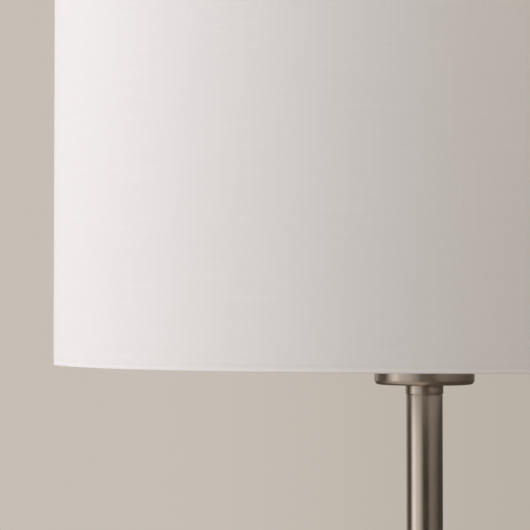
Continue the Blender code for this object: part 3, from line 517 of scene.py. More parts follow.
def drumTree():                                # a closed section carried round the axis on an open path
    tree, bench, given = newTree("wrappedDrum", {
        "Radius": "Float", "Height": "Float", "Segments": "Int", "Turn": "Float", "Lap": "Float",
        "Lap Step": "Float", "Hem Height": "Float", "Pucker": "Float", "Seed": "Float", "Material": "Material"})
    radius, height, segments, wholeTurn, hem = (given.at(title) for title in (
        "Radius", "Height", "Segments", "Turn", "Hem Height"))
    share = bench.node("GeometryNodeInputIndex") / segments
    turn = math.pi / 2 + share * wholeTurn
    lapStart = 1.0 - given.at("Lap") / (radius * wholeTurn)
    lapEase = 0.004                            # share of the turn over which the lap climbs
    lift = share.ramp(lapStart - lapEase, lapStart) * given.at("Lap Step")
    reach = radius + lift
    path = bench.node("GeometryNodeMeshLine", {"mode": "OFFSET"}, {"Count": segments + 1.0})
    path = bench.node("GeometryNodeSetPosition", None, {
        "Geometry": path, "Position": bench.vector(turn.cosine() * reach, turn.sine() * reach, 0.0)})
    path = bench.node("GeometryNodeStoreNamedAttribute", {"data_type": "FLOAT", "domain": "POINT"}, {
        "Geometry": path, "Name": "around", "Value": share * wholeTurn * radius})
    path = bench.node("GeometryNodeMeshToCurve", None, {"Mesh": path})
    path = bench.node("GeometryNodeSetCurveNormal", {"mode": "Z_UP"}, {"Curve": path})
    section = bench.node("GeometryNodeMeshToCurve", None, {"Mesh": given.at("Geometry")})
    drum = bench.node("GeometryNodeCurveToMesh", None, {
        "Curve": path, "Profile Curve": section, "Fill Caps": True})
    x, y, z = bench.axes(bench.node("GeometryNodeInputPosition"))
    fromEnd = height * 0.5 - abs(z - height * 0.5)
    atHem = 1.0 - fromEnd.ramp(hem, hem * 2.2)
    folds = bench.node("ShaderNodeTexNoise", {"noise_dimensions": "4D"}, {
        "Vector": bench.vector(x, y, z * 0.25), "W": given.at("Seed"), "Scale": 210.0, "Detail": 2.0})
    slow = bench.node("ShaderNodeTexNoise", {"noise_dimensions": "4D"}, {
        "Vector": bench.vector(x, y, z), "W": given.at("Seed") + 5.0, "Scale": 16.0, "Detail": 1.0})
    push = ((folds - 0.5) * atHem * 2.0 + (slow - 0.5)) * given.at("Pucker")
    level = (x * x + y * y) ** 0.5
    drum = bench.node("GeometryNodeSetPosition", None, {
        "Geometry": drum, "Offset": bench.vector(x / level * push, y / level * push, push * atHem * 0.4)})
    around = bench.node("GeometryNodeInputNamedAttribute", {"data_type": "FLOAT"}, {"Name": "around"})
    across = bench.node("GeometryNodeInputNamedAttribute", {"data_type": "FLOAT"}, {"Name": "across"})
    drum = bench.node("GeometryNodeStoreNamedAttribute", {"data_type": "FLOAT2", "domain": "CORNER"}, {
        "Geometry": drum, "Name": "UVMap", "Value": bench.vector(around, across, 0.0)})
    drum = bench.node("GeometryNodeFlipFaces", None, {"Mesh": drum})
    closeTree(bench, drum, given)
    return tree


def threadTree():                              # a right-handed ridge that runs out at both ends
    tree, bench, given = newTree("rolledThread", {
        "Radius": "Float", "Pitch": "Float", "Turns": "Float", "Ridge": "Float", "Foot": "Float",
        "Steps": "Int", "Material": "Material"})
    radius, pitch, turns = (given.at(title) for title in ("Radius", "Pitch", "Turns"))
    steps = turns * given.at("Steps")
    last = steps.maths("ROUND", steps)
    share = bench.node("GeometryNodeInputIndex") / last
    turn = share * turns * math.tau
    path = bench.node("GeometryNodeMeshLine", {"mode": "OFFSET"}, {"Count": last + 1.0})
    path = bench.node("GeometryNodeSetPosition", None, {"Geometry": path, "Position": bench.vector(
        turn.cosine() * radius, turn.sine() * radius,
        given.at("Foot") + share * turns * pitch)})
    path = bench.node("GeometryNodeMeshToCurve", None, {"Mesh": path})
    fade = (1.0 - abs(share * 2.0 - 1.0)) * turns * 1.5
    section = bench.node("GeometryNodeCurvePrimitiveCircle", None, {
        "Resolution": 8, "Radius": given.at("Ridge")})
    ridge = bench.node("GeometryNodeCurveToMesh", None, {
        "Curve": path, "Profile Curve": section, "Scale": (fade + 0.12).kept(), "Fill Caps": True})
    closeTree(bench, ridge, given)
    return tree


def ringTree():                                # copies of one shape evenly round the Z axis
    tree, bench, given = newTree("evenRing", {"Count": "Int", "Start": "Float", "Material": "Material"})
    points = bench.node("GeometryNodePoints", None, {"Count": given.at("Count")})
    turn = given.at("Start") + bench.node("GeometryNodeInputIndex") / given.at("Count") * math.tau
    copies = bench.node("GeometryNodeInstanceOnPoints", None, {
        "Points": points, "Instance": given.at("Geometry"), "Rotation": bench.vector(0.0, 0.0, turn)})
    closeTree(bench, copies, given)
    return tree


trees = {"drum": drumTree(), "thread": threadTree(), "ring": ringTree()}
print("node trees made:", ", ".join(trees))


def joined(piece, *others):                    # one plain mesh from several
    form = bmesh.new()
    for part in (piece, *others):
        form.from_mesh(part.data)
    mesh = piece.data
    form.to_mesh(mesh)
    form.free()
    for part in others:
        bpy.data.objects.remove(part)
    smoothed(mesh)
    return piece


def thread(name, slot, radius, pitch, turns, ridge, foot, steps=36):
    return runTree(name, trees["thread"], {
        "Radius": radius, "Pitch": pitch, "Turns": float(turns), "Ridge": ridge, "Foot": foot, "Steps": steps,
        "Material": finishes[slot]})


def ringOf(name, slot, form, count, start=0.0):
    return runTree(name, trees["ring"], {"Count": count, "Start": start, "Material": finishes[slot]},
                   newMesh(name + "One", form))


cameraLook = {"place": (-0.0878, -1.041, 1.2431), "tiltUp": 1.72, "lens": 128.2, "sensor": 36.0,
              "near": 0.05, "far": 100.0}
cameraData = bpy.data.cameras.new("camera")
cameraData.lens, cameraData.sensor_width = cameraLook["lens"], cameraLook["sensor"]
cameraData.clip_start, cameraData.clip_end = cameraLook["near"], cameraLook["far"]
camera = bpy.data.objects.new("camera", cameraData)
camera.location = cameraLook["place"]
camera.rotation_euler = (math.radians(90 + cameraLook["tiltUp"]), 0, 0)
scene.collection.objects.link(camera)
scene.camera = camera


shadeLook = {
    "thickness": 0.0003, "wire": 0.0009, "wireGap": 0.00015, "wrap": 135.0, "corner": 0.0004, "lipTop": 0.0008,
    "dipFoot": 0.0019, "dipTop": 0.0044, "dip": 0.00007, "segments": 480,
    "lap": 0.012, "lapStep": 0.00035, "pucker": 0.00007, "linerGap": 0.0004, "linerThickness": 0.0006,
    "linerStop": 0.0032}
rimZ, shadeTopZ, shadeRadius = zSpan("shade_fabric")
hemRadius = shadeLook["wire"] + shadeLook["wireGap"] + shadeLook["thickness"]
ringRadius = shadeRadius - hemRadius
drumHeight = shadeTopZ - rimZ


def hemSection(offset):                        # from the tucked end, under the ring and up to the drum's wall
    tuck = arc(-hemRadius, hemRadius, hemRadius - offset, -shadeLook["wrap"], -90, 7)
    turnUp = arc(-shadeLook["corner"], shadeLook["corner"], shadeLook["corner"] - offset, -90, 0, 6)
    face = []
    for start, end, rises in ((shadeLook["lipTop"], shadeLook["dipFoot"], False),
                              (shadeLook["dipFoot"], shadeLook["dipTop"], True)):
        for step in range(10):
            share = step / 10
            depth = 0.5 + 0.5 * math.cos(math.pi * share) if rises else 0.5 - 0.5 * math.cos(math.pi * share)
            face.append((-offset - shadeLook["dip"] * depth, start + (end - start) * share))
    return tuck + turnUp + face + [(-offset, shadeLook["dipTop"])]


def fabricSection():                           # closed loop, outer face first
    lower = hemSection(0.0)
    upper = [(r, drumHeight - z) for r, z in reversed(lower)]
    wall = [(0.0, lower[-1][1] + (upper[0][1] - lower[-1][1]) * step / 20) for step in range(1, 20)]
    outer = lower + wall + upper
    innerLower = hemSection(shadeLook["thickness"])
    innerUpper = [(r, drumHeight - z) for r, z in reversed(innerLower)]
    innerWall = [(-shadeLook["thickness"], z) for _, z in wall]
    return outer, list(reversed(innerLower + innerWall + innerUpper))


def sectionMesh(name, outer, back):            # both faces have as many points, and keep their length
    points = outer + back
    mesh = bpy.data.meshes.new(name)
    edges = [(index, (index + 1) % len(points)) for index in range(len(points))]
    mesh.from_pydata([(r, -z, 0) for r, z in points], edges, [])
    along = [0.0]
    for first, second in zip(outer, outer[1:]):
        along.append(along[-1] + math.dist(first, second))
    mesh.attributes.new("across", "FLOAT", "POINT").data.foreach_set("value", along + along[::-1])
    return mesh, along[-1]


def drumPiece(name, slot, outer, back, radius, look):
    section, height = sectionMesh(name + "Section", outer, back)
    piece = runTree(name, trees["drum"], {
        "Radius": radius, "Height": drumHeight, "Segments": look["segments"], "Turn": look["turn"],
        "Lap": look["lap"], "Lap Step": look["lapStep"], "Hem Height": look["hemHeight"],
        "Pucker": look["pucker"], "Seed": 3.0, "Material": finishes[slot]}, section)
    return piece, height


def liftBy(piece, z):
    piece.data.transform(Matrix.Translation((0, 0, z)))
    return piece


outerLine, innerLine = fabricSection()
fabricTurn = math.tau + shadeLook["lap"] / shadeRadius
shadeFabric, clothHeight = drumPiece("shadeFabric", "white_fabric", outerLine, innerLine, shadeRadius, {
    **shadeLook, "turn": fabricTurn, "hemHeight": hemRadius * 2})
liftBy(shadeFabric, rimZ)

linerOuter = -shadeLook["thickness"] - shadeLook["linerGap"]
linerInner = linerOuter - shadeLook["linerThickness"]
linerLow, linerHigh = shadeLook["linerStop"], drumHeight - shadeLook["linerStop"]
shadeLiner, _ = drumPiece(
    "shadeLiner", "white_styrene",
    [(linerOuter, linerLow + (linerHigh - linerLow) * step / 12) for step in range(13)],
    [(linerInner, linerHigh - (linerHigh - linerLow) * step / 12) for step in range(13)],
    shadeRadius, {"segments": 240, "turn": math.tau - 0.001, "lap": 0.01, "lapStep": 0.0,
                  "hemHeight": 0.001, "pucker": 0.0})
liftBy(shadeLiner, rimZ)
fit(shadeLiner, "shade", "white_styrene", "shade_liner")

for ringName, ringNode in (("lowerRing", "shade_lower_ring"), ("upperRing", "shade_upper_ring")):
    ringLow, ringHigh, _ = zSpan(ringNode)
    turnedPiece(ringName, "shade", "white_enamel",
                arc(ringRadius, (ringLow + ringHigh) / 2, shadeLook["wire"], 0, 330, 11), [ringNode], 180)

fit(shadeFabric, "shade", "white_fabric", "shade_fabric")

spiderLook = {"arms": 3, "wire": 0.0014, "rise": 0.004, "flat": 0.020, "hubEdge": 0.0005, "boreEdge": 0.0003,
              "hubThickness": 0.002, "hubMargin": 0.0028, "hubBore": 0.00357, "knobGap": 0.0003, "weld": 0.0022}
hubThickness, hubBore, weld = spiderLook["hubThickness"], spiderLook["hubBore"], spiderLook["weld"]
hubRadius = zSpan("swivel_stud")[2] + spiderLook["hubMargin"]
hubLow = zSpan("finial_knob")[0] - spiderLook["knobGap"] - hubThickness
armZ = hubLow + hubThickness / 2
kneeX = hubRadius + spiderLook["flat"]
armEnd = Vector((ringRadius, 0, shadeTopZ - hemRadius - shadeLook["wire"] * 0.9))
knee = Vector((kneeX, 0, armZ))
armSlope = (armEnd - knee).normalized()
armRoute = [Vector((hubRadius - 0.002, 0, armZ)), *interpolate_bezier(
    knee - Vector((spiderLook["rise"], 0, 0)), knee, knee, knee + armSlope * spiderLook["rise"], 10), armEnd]
armForm = tubeInto(bmesh.new(), armRoute, spiderLook["wire"], 16)
latheInto(armForm, [(0.0, weld)] + arc(0, 0, weld, 75, -75, 8) + [(0.0, -weld)], 16, False,
          Matrix.Translation(armEnd - Vector((0.0006, 0, 0.0002))))        # weld where the arm meets the ring
arms = ringOf("spiderArms", "white_enamel", armForm, spiderLook["arms"], math.pi / 2)
hubForm = latheInto(bmesh.new(), rounded([
    (hubRadius, hubLow + hubThickness, spiderLook["hubEdge"]), (hubRadius, hubLow, spiderLook["hubEdge"]),
    (hubBore, hubLow, spiderLook["boreEdge"]), (hubBore, hubLow + hubThickness, spiderLook["boreEdge"])]), 72)
spider = joined(newPiece("shadeSpider", hubForm, "white_enamel"), arms)
fit(spider, "shade", "white_enamel", "shade_spider")
print("spider made")


poleLook = {"wall": 0.0010, "edge": 0.00012, "steps": 128}
for section in ("lower", "middle", "upper"):
    low, high, radius = zSpan("pole_" + section)
    inner = radius - poleLook["wall"]
    turnedPiece(section + "Pole", "stand", "satin_nickel", rounded([
        (radius, high, poleLook["edge"]), (radius, low, poleLook["edge"]),
        (inner, low, 0), (inner, high, 0)]), ["pole_" + section], poleLook["steps"])

collarLook = {"edge": 0.00015, "topEdge": 0.0003, "bore": 0.0052, "height": 0.005, "spigotGap": 0.0013}
low, high, radius = zSpan("head_collar")
shoulder = high - collarLook["height"]
spigot = radius - collarLook["spigotGap"] - 0.0004
turnedPiece("headCollar", "stand", "satin_nickel", rounded([
    (radius, high, collarLook["topEdge"]), (radius, shoulder, collarLook["edge"]), (spigot, shoulder, 0),
    (spigot, low, 0.0005), (collarLook["bore"], low, 0), (collarLook["bore"], high, 0)]),
    ["head_collar"], 128)

cupLook = {"wall": 0.0012, "edge": 0.0025, "bore": 0.0052, "lip": 0.00055}
low, high, radius = zSpan("socket_cup")
inner = radius - cupLook["wall"]
turnedPiece("socketCup", "stand", "satin_nickel", rounded([
    (radius, high, cupLook["lip"]), (radius, low, cupLook["edge"]), (cupLook["bore"], low, 0),
    (cupLook["bore"], low + cupLook["wall"], 0),
    (inner, low + cupLook["wall"], cupLook["edge"] - cupLook["wall"]),
    (inner, high, cupLook["lip"])], 8), ["socket_cup"], 192)
low, high, radius = zSpan("cup_lid")
turnedPiece("cupLid", "stand", "satin_nickel", rounded([
    (radius, high, 0.0004), (radius, low, 0), (cupLook["bore"], low, 0), (cupLook["bore"], high, softEdge)]),
    ["cup_lid"], 128)

footLook = {"bore": 0.0103, "edge": 0.0028}
low, high, radius = zSpan("foot_collar")
turnedPiece("footCollar", "stand", "satin_nickel", rounded([
    (footLook["bore"], high, softEdge), (radius, high, footLook["edge"]), (radius, low, softEdge),
    (footLook["bore"], low, 0)], 8), ["foot_collar"], 128)
print("pole, collar and cup made")


baseLook = {"wall": 0.0016, "edge": 0.008, "bore": 0.0052, "crown": 0.0008, "crownStart": 0.021,
            "padEdge": 0.0006}
low, high, radius = zSpan("base_cover")
inner = radius - baseLook["wall"]
baseCover = lathed("baseCover", "satin_nickel", rounded([
    (baseLook["bore"], high, 0), (baseLook["crownStart"], high, 0),
    (radius, high - baseLook["crown"], baseLook["edge"]),
    (radius, low, softEdge), (inner, low, softEdge),
    (inner, high - baseLook["wall"] - baseLook["crown"], baseLook["edge"] - baseLook["wall"]),
    (baseLook["bore"], high - baseLook["wall"], 0)], 10), 256)

glandLook = {"radius": 0.0052, "hole": 0.0055, "flange": 0.0078, "bore": 0.0034, "depth": 0.006, "ribs": 16}
glandLow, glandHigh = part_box("lead_gland")
glandZ = (glandLow.z + glandHigh.z) / 2
glandTurn = Matrix.Translation((0, radius, glandZ)) @ Matrix.Rotation(-math.pi / 2, 4, "X")
drill(baseCover, "glandHole", "satin_nickel", [
    (0, glandLook["depth"]), (glandLook["hole"], glandLook["depth"]),
    (glandLook["hole"], -glandLook["depth"]), (0, -glandLook["depth"])], 48, glandTurn)
fit(baseCover, "stand", "satin_nickel", "base_cover")

gland = lathed("leadGland", "black_nylon", rounded([
    (glandLook["flange"] - 0.0009, 0.0023, 0.0005), (glandLook["flange"] - 0.0004, 0.0003, 0.0001),
    (glandLook["radius"], 0.0003, 0), (glandLook["radius"], -glandLook["depth"], 0.0006),
    (glandLook["bore"], -glandLook["depth"], 0), (glandLook["bore"], 0.0023, 0.0007)]), 64)
ribForm = boxInto(bmesh.new(), (glandLook["flange"] - 0.0010, -0.0004, 0.0004),
                  (glandLook["flange"], 0.0004, 0.0020))
ribs = ringOf("glandRibs", "black_nylon", ribForm, glandLook["ribs"])
gland = joined(gland, ribs)
gland.data.transform(glandTurn)
fit(gland, "stand", "black_nylon", "lead_gland")

low, high, radius = zSpan("base_pad")
turnedPiece("basePad", "stand", "black_felt", rounded([
    (0, high, 0), (radius, high, baseLook["padEdge"]), (radius, low, baseLook["padEdge"]), (0, low, 0)]),
    ["base_pad"], 160, closed=False)
print("base made")


socketLook = {
    "capWall": 0.0008, "capCorner": 0.0032, "hubRadius": 0.0086, "bore": 0.0052, "hubHeight": 0.009,
    "wall": 0.0006, "bead": 0.00045, "beads": (0.0098, 0.0205, 0.0430), "beadHalf": 0.0011,
    "keyHole": 0.0026, "lip": 0.00025}
low, high, radius = zSpan("socket_cap")
shoulderZ = low + socketLook["hubHeight"]
inner = radius - socketLook["capWall"]
turnedPiece("socketCap", "stand", "polished_brass", rounded([
    (radius, high, socketLook["lip"]), (radius, shoulderZ, socketLook["capCorner"]),
    (socketLook["hubRadius"], shoulderZ, 0.0009), (socketLook["hubRadius"], low, 0.0004),
    (socketLook["bore"], low, 0), (socketLook["bore"], shoulderZ + socketLook["capWall"], 0),
    (inner, shoulderZ + socketLook["capWall"], socketLook["capCorner"] - socketLook["capWall"]),
    (inner, high, socketLook["lip"])], 8), ["socket_cap"], 96)

low, high, radius = zSpan("socket_shell")
inner = radius - socketLook["wall"]
shellOuter = [(radius, high - 0.0003)]
for z in sorted((low + rise for rise in socketLook["beads"]), reverse=True):
    shellOuter += [(radius - (0.5 - 0.5 * math.cos(math.tau * step / 10)) * socketLook["bead"],
                    z + socketLook["beadHalf"] * (1 - step / 5)) for step in range(11)]
shellOuter += [(radius, low + 0.0002), (radius - 0.0002, low)]
shellInner = [(r - socketLook["wall"], z) for r, z in reversed(shellOuter)]
shellInner[0] = (inner, low)
socketShell = lathed("socketShell", "polished_brass", [
    (radius - 0.0002, high), *shellOuter, *shellInner, (inner + 0.0002, high)], 96)
keyLow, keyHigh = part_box("switch_key")
keyZ = (keyLow.z + keyHigh.z) / 2
frontTurn = Matrix.Translation((0, 0, keyZ)) @ Matrix.Rotation(math.pi / 2, 4, "X")
drill(socketShell, "keyHole", "polished_brass", [
    (0, 0.020), (socketLook["keyHole"], 0.020), (socketLook["keyHole"], 0.012), (0, 0.012)], 40, frontTurn)
fit(socketShell, "stand", "polished_brass", "socket_shell")

keyLook = {"shaft": 0.0018, "width": 0.0130, "thickness": 0.0032, "length": 0.0110, "pinch": 0.35, "grips": 5,
           "gripPitch": 0.0017, "gripHalf": 0.0003, "gripFoot": 0.0008, "gripTop": 0.00155}
keyEnd = -keyLow.y
keyForm = latheInto(bmesh.new(), rounded([
    (0, keyEnd - keyLook["length"] * 0.6, 0), (keyLook["shaft"], keyEnd - keyLook["length"] * 0.6, 0),
    (keyLook["shaft"], -keyHigh.y, softEdge), (0, -keyHigh.y, 0)]), 32, False)
outline = [(keyLook["width"] / 2 * math.copysign(abs(math.cos(turn)) ** 0.6, math.cos(turn)),
            keyLook["length"] / 2 * math.copysign(abs(math.sin(turn)) ** 0.75, math.sin(turn)))
           for turn in (math.tau * step / 48 for step in range(48))]
paddleMiddle = keyEnd - keyLook["length"] / 2
layers = []
for share, inset in ((-1.0, 0.80), (-0.72, 0.94), (-0.3, 1.0), (0.3, 1.0), (0.72, 0.94), (1.0, 0.80)):
    layers.append([keyForm.verts.new((x * inset, share * keyLook["thickness"] / 2
                                      * (1 - keyLook["pinch"] * (z / keyLook["length"] + 0.5) * 0.8),
                                      paddleMiddle + z * inset)) for x, z in outline])
for first, second in zip(layers, layers[1:]):
    bridge(keyForm, first, second)
for side in (layers[0], layers[-1]):
    keyForm.faces.new(side)
for grip in range(keyLook["grips"]):
    gripX = (grip - (keyLook["grips"] - 1) / 2) * keyLook["gripPitch"]
    for side in (-1, 1):
        near, far = sorted((side * keyLook["gripFoot"], side * keyLook["gripTop"]))
        boxInto(keyForm, (gripX - keyLook["gripHalf"], near, paddleMiddle - 0.0034),
                (gripX + keyLook["gripHalf"], far, paddleMiddle + 0.0028))
bmesh.ops.transform(keyForm, matrix=frontTurn, verts=keyForm.verts)
switchKey = newPiece("switchKey", keyForm, "phenolic")
fit(switchKey, "switch", "phenolic", "switch_key")

screwLook = {"pitch": inch / 7, "turns": 4.6, "ridge": 0.0003, "capTurns": 4.4, "capRidge": 0.0008}
low, high, radius = zSpan("screw_shell")
innerShell = radius - 0.0005
shellBody = lathed("screwShell", "polished_brass", rounded([
    (radius, high, 0.0002), (radius, low, 0.0002), (innerShell, low, 0), (innerShell, high, 0.0002)], 3), 80)
shellThread = thread("screwShellThread", "polished_brass", radius - 0.00025, screwLook["pitch"],
                     screwLook["turns"], screwLook["ridge"], low + 0.0035)
fit(joined(shellBody, shellThread), "stand", "polished_brass", "screw_shell")

saddleLook = {"edge": 0.0004, "bore": 0.0052, "rim": 0.0028, "endRadius": 0.005, "post": 0.0020,
              "thickness": 0.002}
saddleLow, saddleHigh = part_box("harp_saddle")
legX = saddleHigh.x - saddleLook["endRadius"]
saddleTop = saddleLow.z + saddleLook["thickness"]
middleRadius = saddleLook["bore"] + saddleLook["rim"]
half = arc(legX, 0, saddleLook["endRadius"], -90, 90, 16) + arc(0, 0, middleRadius, 50, 130, 16)
outlinePoints = half + [(-x, -y) for x, y in half]
saddleForm = bmesh.new()
levels = [(saddleLow.z, 0.9), (saddleLow.z + saddleLook["edge"], 1.0),
          (saddleTop - saddleLook["edge"], 1.0), (saddleTop, 0.9)]
holeSteps = len(outlinePoints)
outerRings, holeRings = [], []
for z, grow in levels:
    inset = saddleLook["edge"] * (1 - grow) * 10
    ring = []
    for index, (x, y) in enumerate(outlinePoints):
        tangent = Vector(outlinePoints[(index + 1) % holeSteps]) - Vector(outlinePoints[index - 1])
        normal = Vector((tangent.y, -tangent.x)).normalized()
        ring.append(saddleForm.verts.new((x - normal.x * inset, y - normal.y * inset, z)))
    outerRings.append(ring)
    angles = [math.atan2(y, x) for x, y in outlinePoints]
    holeRings.append([saddleForm.verts.new((math.cos(turn) * (saddleLook["bore"] + inset * 0.5),
                                            math.sin(turn) * (saddleLook["bore"] + inset * 0.5), z))
                      for turn in angles])
for rings in (outerRings, holeRings):
    for first, second in zip(rings, rings[1:]):
        bridge(saddleForm, first, second)
for outer, hole in ((outerRings[0], holeRings[0]), (outerRings[-1], holeRings[-1])):
    bridge(saddleForm, outer, hole)
for side in (-1, 1):
    latheInto(saddleForm, rounded([
        (0, saddleHigh.z, 0), (saddleLook["post"], saddleHigh.z, softEdge),
        (saddleLook["post"], saddleTop + 0.0006, 0.0004), (saddleLook["post"] + 0.0008, saddleTop - 0.0005, 0),
        (0, saddleTop - 0.0005, 0)]), 32, False, Matrix.Translation((side * legX, 0, 0)))
fit(newPiece("harpSaddle", saddleForm, "polished_brass"),
    "stand", "polished_brass", "harp_saddle")
print("lampholder made")


bulbLook = {"capWall": 0.0005, "lip": 0.0019, "gap": 0.0003, "bellyShare": 0.30, "skirtDraw": 0.0015}
low, high, radius = zSpan("bulb_cap")
core = radius - 0.0008
capBody = lathed("bulbCap", "zinc_steel", rounded([
    (radius, high, softEdge), (radius, high - 0.0035, 0.0008), (core, high - 0.0045, 0.0005),
    (core, low, 0.0008),
    (core - bulbLook["capWall"], low, 0), (core - bulbLook["capWall"], high, 0)], 4), 96)
capThread = thread("bulbCapThread", "zinc_steel", core, screwLook["pitch"], screwLook["capTurns"],
                   screwLook["capRidge"], low + 0.0016)
fit(joined(capBody, capThread), "bulb", "zinc_steel", "bulb_cap")

bodyLow, bodyHigh, bodyRadius = zSpan("bulb_body")
neck = radius - bulbLook["capWall"] - bulbLook["gap"] - 0.0008
shoulder = high + bulbLook["gap"]
flank = [(radius + bulbLook["lip"] + (bodyRadius - radius - bulbLook["lip"])
          * (1 - math.cos(share * math.pi / 2)) ** 0.62, shoulder + (bodyHigh - shoulder) * share)
         for share in (step / 14 for step in range(15))]
turnedPiece("bulbBody", "bulb", "bulb_plastic", [
    (0, bodyHigh), (bodyRadius - 0.0012, bodyHigh), *reversed(flank), (radius + 0.0004, shoulder),
    (neck, shoulder), (neck, bodyLow), (0, bodyLow)], ["bulb_body"], 112, closed=False)
globeLow, globeHigh, globeRadius = zSpan("bulb_globe")
belly = globeLow + (globeHigh - globeLow) * bulbLook["bellyShare"]
dome = [(globeRadius * math.cos(turn), belly + (globeHigh - belly) * math.sin(turn))
        for turn in (math.pi / 2 * (1 - step / 28) for step in range(29))]
dome[0] = (0, globeHigh)
skirt = [(globeRadius - bulbLook["skirtDraw"] * (step / 6) ** 2, belly - (belly - globeLow) * step / 6)
         for step in range(1, 7)]
turnedPiece("bulbGlobe", "bulb", "opal_diffuser", dome + skirt + [(0, globeLow)], ["bulb_globe"], 112,
            closed=False)
print("bulb made")


harpLook = {"wire": 0.0020, "straight": 0.026, "belly": 0.45, "crown": 0.0085, "crownEdge": 0.0007,
            "bore": 0.0029, "crownThickness": 0.005}
harpLow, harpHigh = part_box("harp_loop")
crownLow = harpHigh.z - harpLook["crownThickness"]
middleZ = (crownLow + harpHigh.z) / 2
halfWidth = harpHigh.x - harpLook["wire"]
bendZ = harpLow.z + harpLook["straight"]
bellyZ = bendZ + (middleZ - bendZ) * harpLook["belly"]
bend, bellyPoint = Vector((legX, 0, bendZ)), Vector((halfWidth, 0, bellyZ))
lowerReach = Vector((0, 0, (bellyZ - bendZ) * 0.45))
upperReach = Vector((0, 0, (middleZ - bellyZ) * 0.60))
side = [Vector((legX, 0, harpLow.z))] + interpolate_bezier(
    bend, bend + lowerReach, bellyPoint - lowerReach, bellyPoint, 30)[:-1] + interpolate_bezier(
    bellyPoint, bellyPoint + upperReach, Vector((halfWidth * 0.6, 0, middleZ)), Vector((0, 0, middleZ)), 36)
cut = [point for point in side if point.x > harpLook["bore"] + 0.0012]
harpForm = bmesh.new()
for mirror in (1, -1):
    tubeInto(harpForm, [Vector((point.x * mirror, 0, point.z)) for point in cut], harpLook["wire"], 20)
latheInto(harpForm, rounded([
    (harpLook["crown"], harpHigh.z, harpLook["crownEdge"]),
    (harpLook["crown"], crownLow, harpLook["crownEdge"]),
    (harpLook["bore"], crownLow, softEdge), (harpLook["bore"], harpHigh.z, softEdge)]), 64)
fit(newPiece("harpLoop", harpForm, "polished_brass"), "harp", "polished_brass", "harp_loop")

sleeveLook = {"wall": 0.0011, "edge": 0.0005, "ridges": 3, "ridgeDepth": 0.0003}
for sideName, sign in (("left", -1), ("right", 1)):
    low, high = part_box("harp_sleeve_" + sideName)
    outer = (high.x - low.x) / 2
    inner = outer - sleeveLook["wall"]
    corners = [(outer, high.z, sleeveLook["edge"])]
    for ridge in range(sleeveLook["ridges"]):
        z = high.z - 0.0025 - ridge * 0.0009
        corners += [(outer - sleeveLook["ridgeDepth"] * (0.5 - 0.5 * math.cos(math.tau * step / 6)),
                     z - 0.0009 * step / 6, 0) for step in range(6)]
    points = rounded(corners + [(outer, high.z - 0.0053, 0), (outer, low.z, sleeveLook["edge"]),
                                (inner, low.z, softEdge), (inner, high.z, softEdge)])
    turnedPiece(sideName + "Sleeve", sideName + "_sleeve", "polished_brass", points,
                ["harp_sleeve_" + sideName], 48, matrix=Matrix.Translation((sign * legX, 0, 0)))

studLook = {"shank": 0.0026, "head": 0.0044, "thread": 0.00317, "plate": 0.0015, "gap": 0.0003,
            "ridge": 0.0003}
low, high, radius = zSpan("swivel_stud")
plateBottom = harpHigh.z + studLook["gap"]
plateTop = plateBottom + studLook["plate"]
headTop = crownLow - studLook["gap"]
root = studLook["thread"] - studLook["ridge"]
studBody = lathed("swivelStud", "polished_brass", rounded([
    (0, high, 0), (root, high, 0.0004), (root, plateTop, softEdge), (radius, plateTop, 0.0004),
    (radius, plateBottom, 0.0004), (studLook["shank"], plateBottom, 0), (studLook["shank"], headTop, 0),
    (studLook["head"], headTop, softEdge), (studLook["head"], low, 0.0006), (0, low, 0)]), 64, False)
studThread = thread("studThread", "polished_brass", studLook["thread"] - 0.00032, inch / 27, 9,
                    studLook["ridge"], plateTop + 0.0012, 24)
fit(joined(studBody, studThread), "swivel", "polished_brass", "swivel_stud")

finialLook = {"foot": 0.0082, "neck": 0.0056, "ball": 0.0090, "footHeight": 0.0031, "insert": 0.00467,
              "boreDepth": 0.0106, "knurls": 44, "knurl": 0.00028}
low, high, _ = zSpan("finial_knob")
bore = finialLook["insert"] + 0.0003
boreTop = low + finialLook["boreDepth"]
ballZ = high - finialLook["ball"]
ball = arc(0, ballZ, finialLook["ball"], 90, -50, 30)
ball[0] = (0, high)
neckZ = low + finialLook["footHeight"]
knob = ball + rounded([ball[-1] + (0,), (finialLook["neck"], neckZ + 0.0024, 0.0012),
                       (finialLook["neck"] + 0.0004, neckZ, 0.0005), (finialLook["foot"], neckZ, 0.0006),
                       (finialLook["foot"], low, 0.0005), (bore, low, softEdge), (bore, boreTop, 0),
                       (0, boreTop, 0)])[1:]
knobPiece = lathed("finialKnob", "satin_nickel", knob, 96, False)
knurlForm = tubeInto(bmesh.new(), [(finialLook["foot"] - 0.0001, 0, low + 0.0008),
                                   (finialLook["foot"] - 0.0001, 0, neckZ - 0.0008)], finialLook["knurl"], 8)
knurls = ringOf("finialKnurls", "satin_nickel", knurlForm, finialLook["knurls"])
fit(joined(knobPiece, knurls), "finial", "satin_nickel", "finial_knob")
print("harp and finial made")


for members in frame["record"]["behaviour"]["bodies"].values():
    for member in members:
        node = frame["nodes"][member]
        if not node.hide_render:
            slotName = node.data.materials[0].name.split(".")[0] if node.data.materials else ""
            if slotName in finishes:
                for index in range(len(node.material_slots)):
                    node.material_slots[index].material = finishes[slotName]
            else:
                print("no finish for", member, slotName)


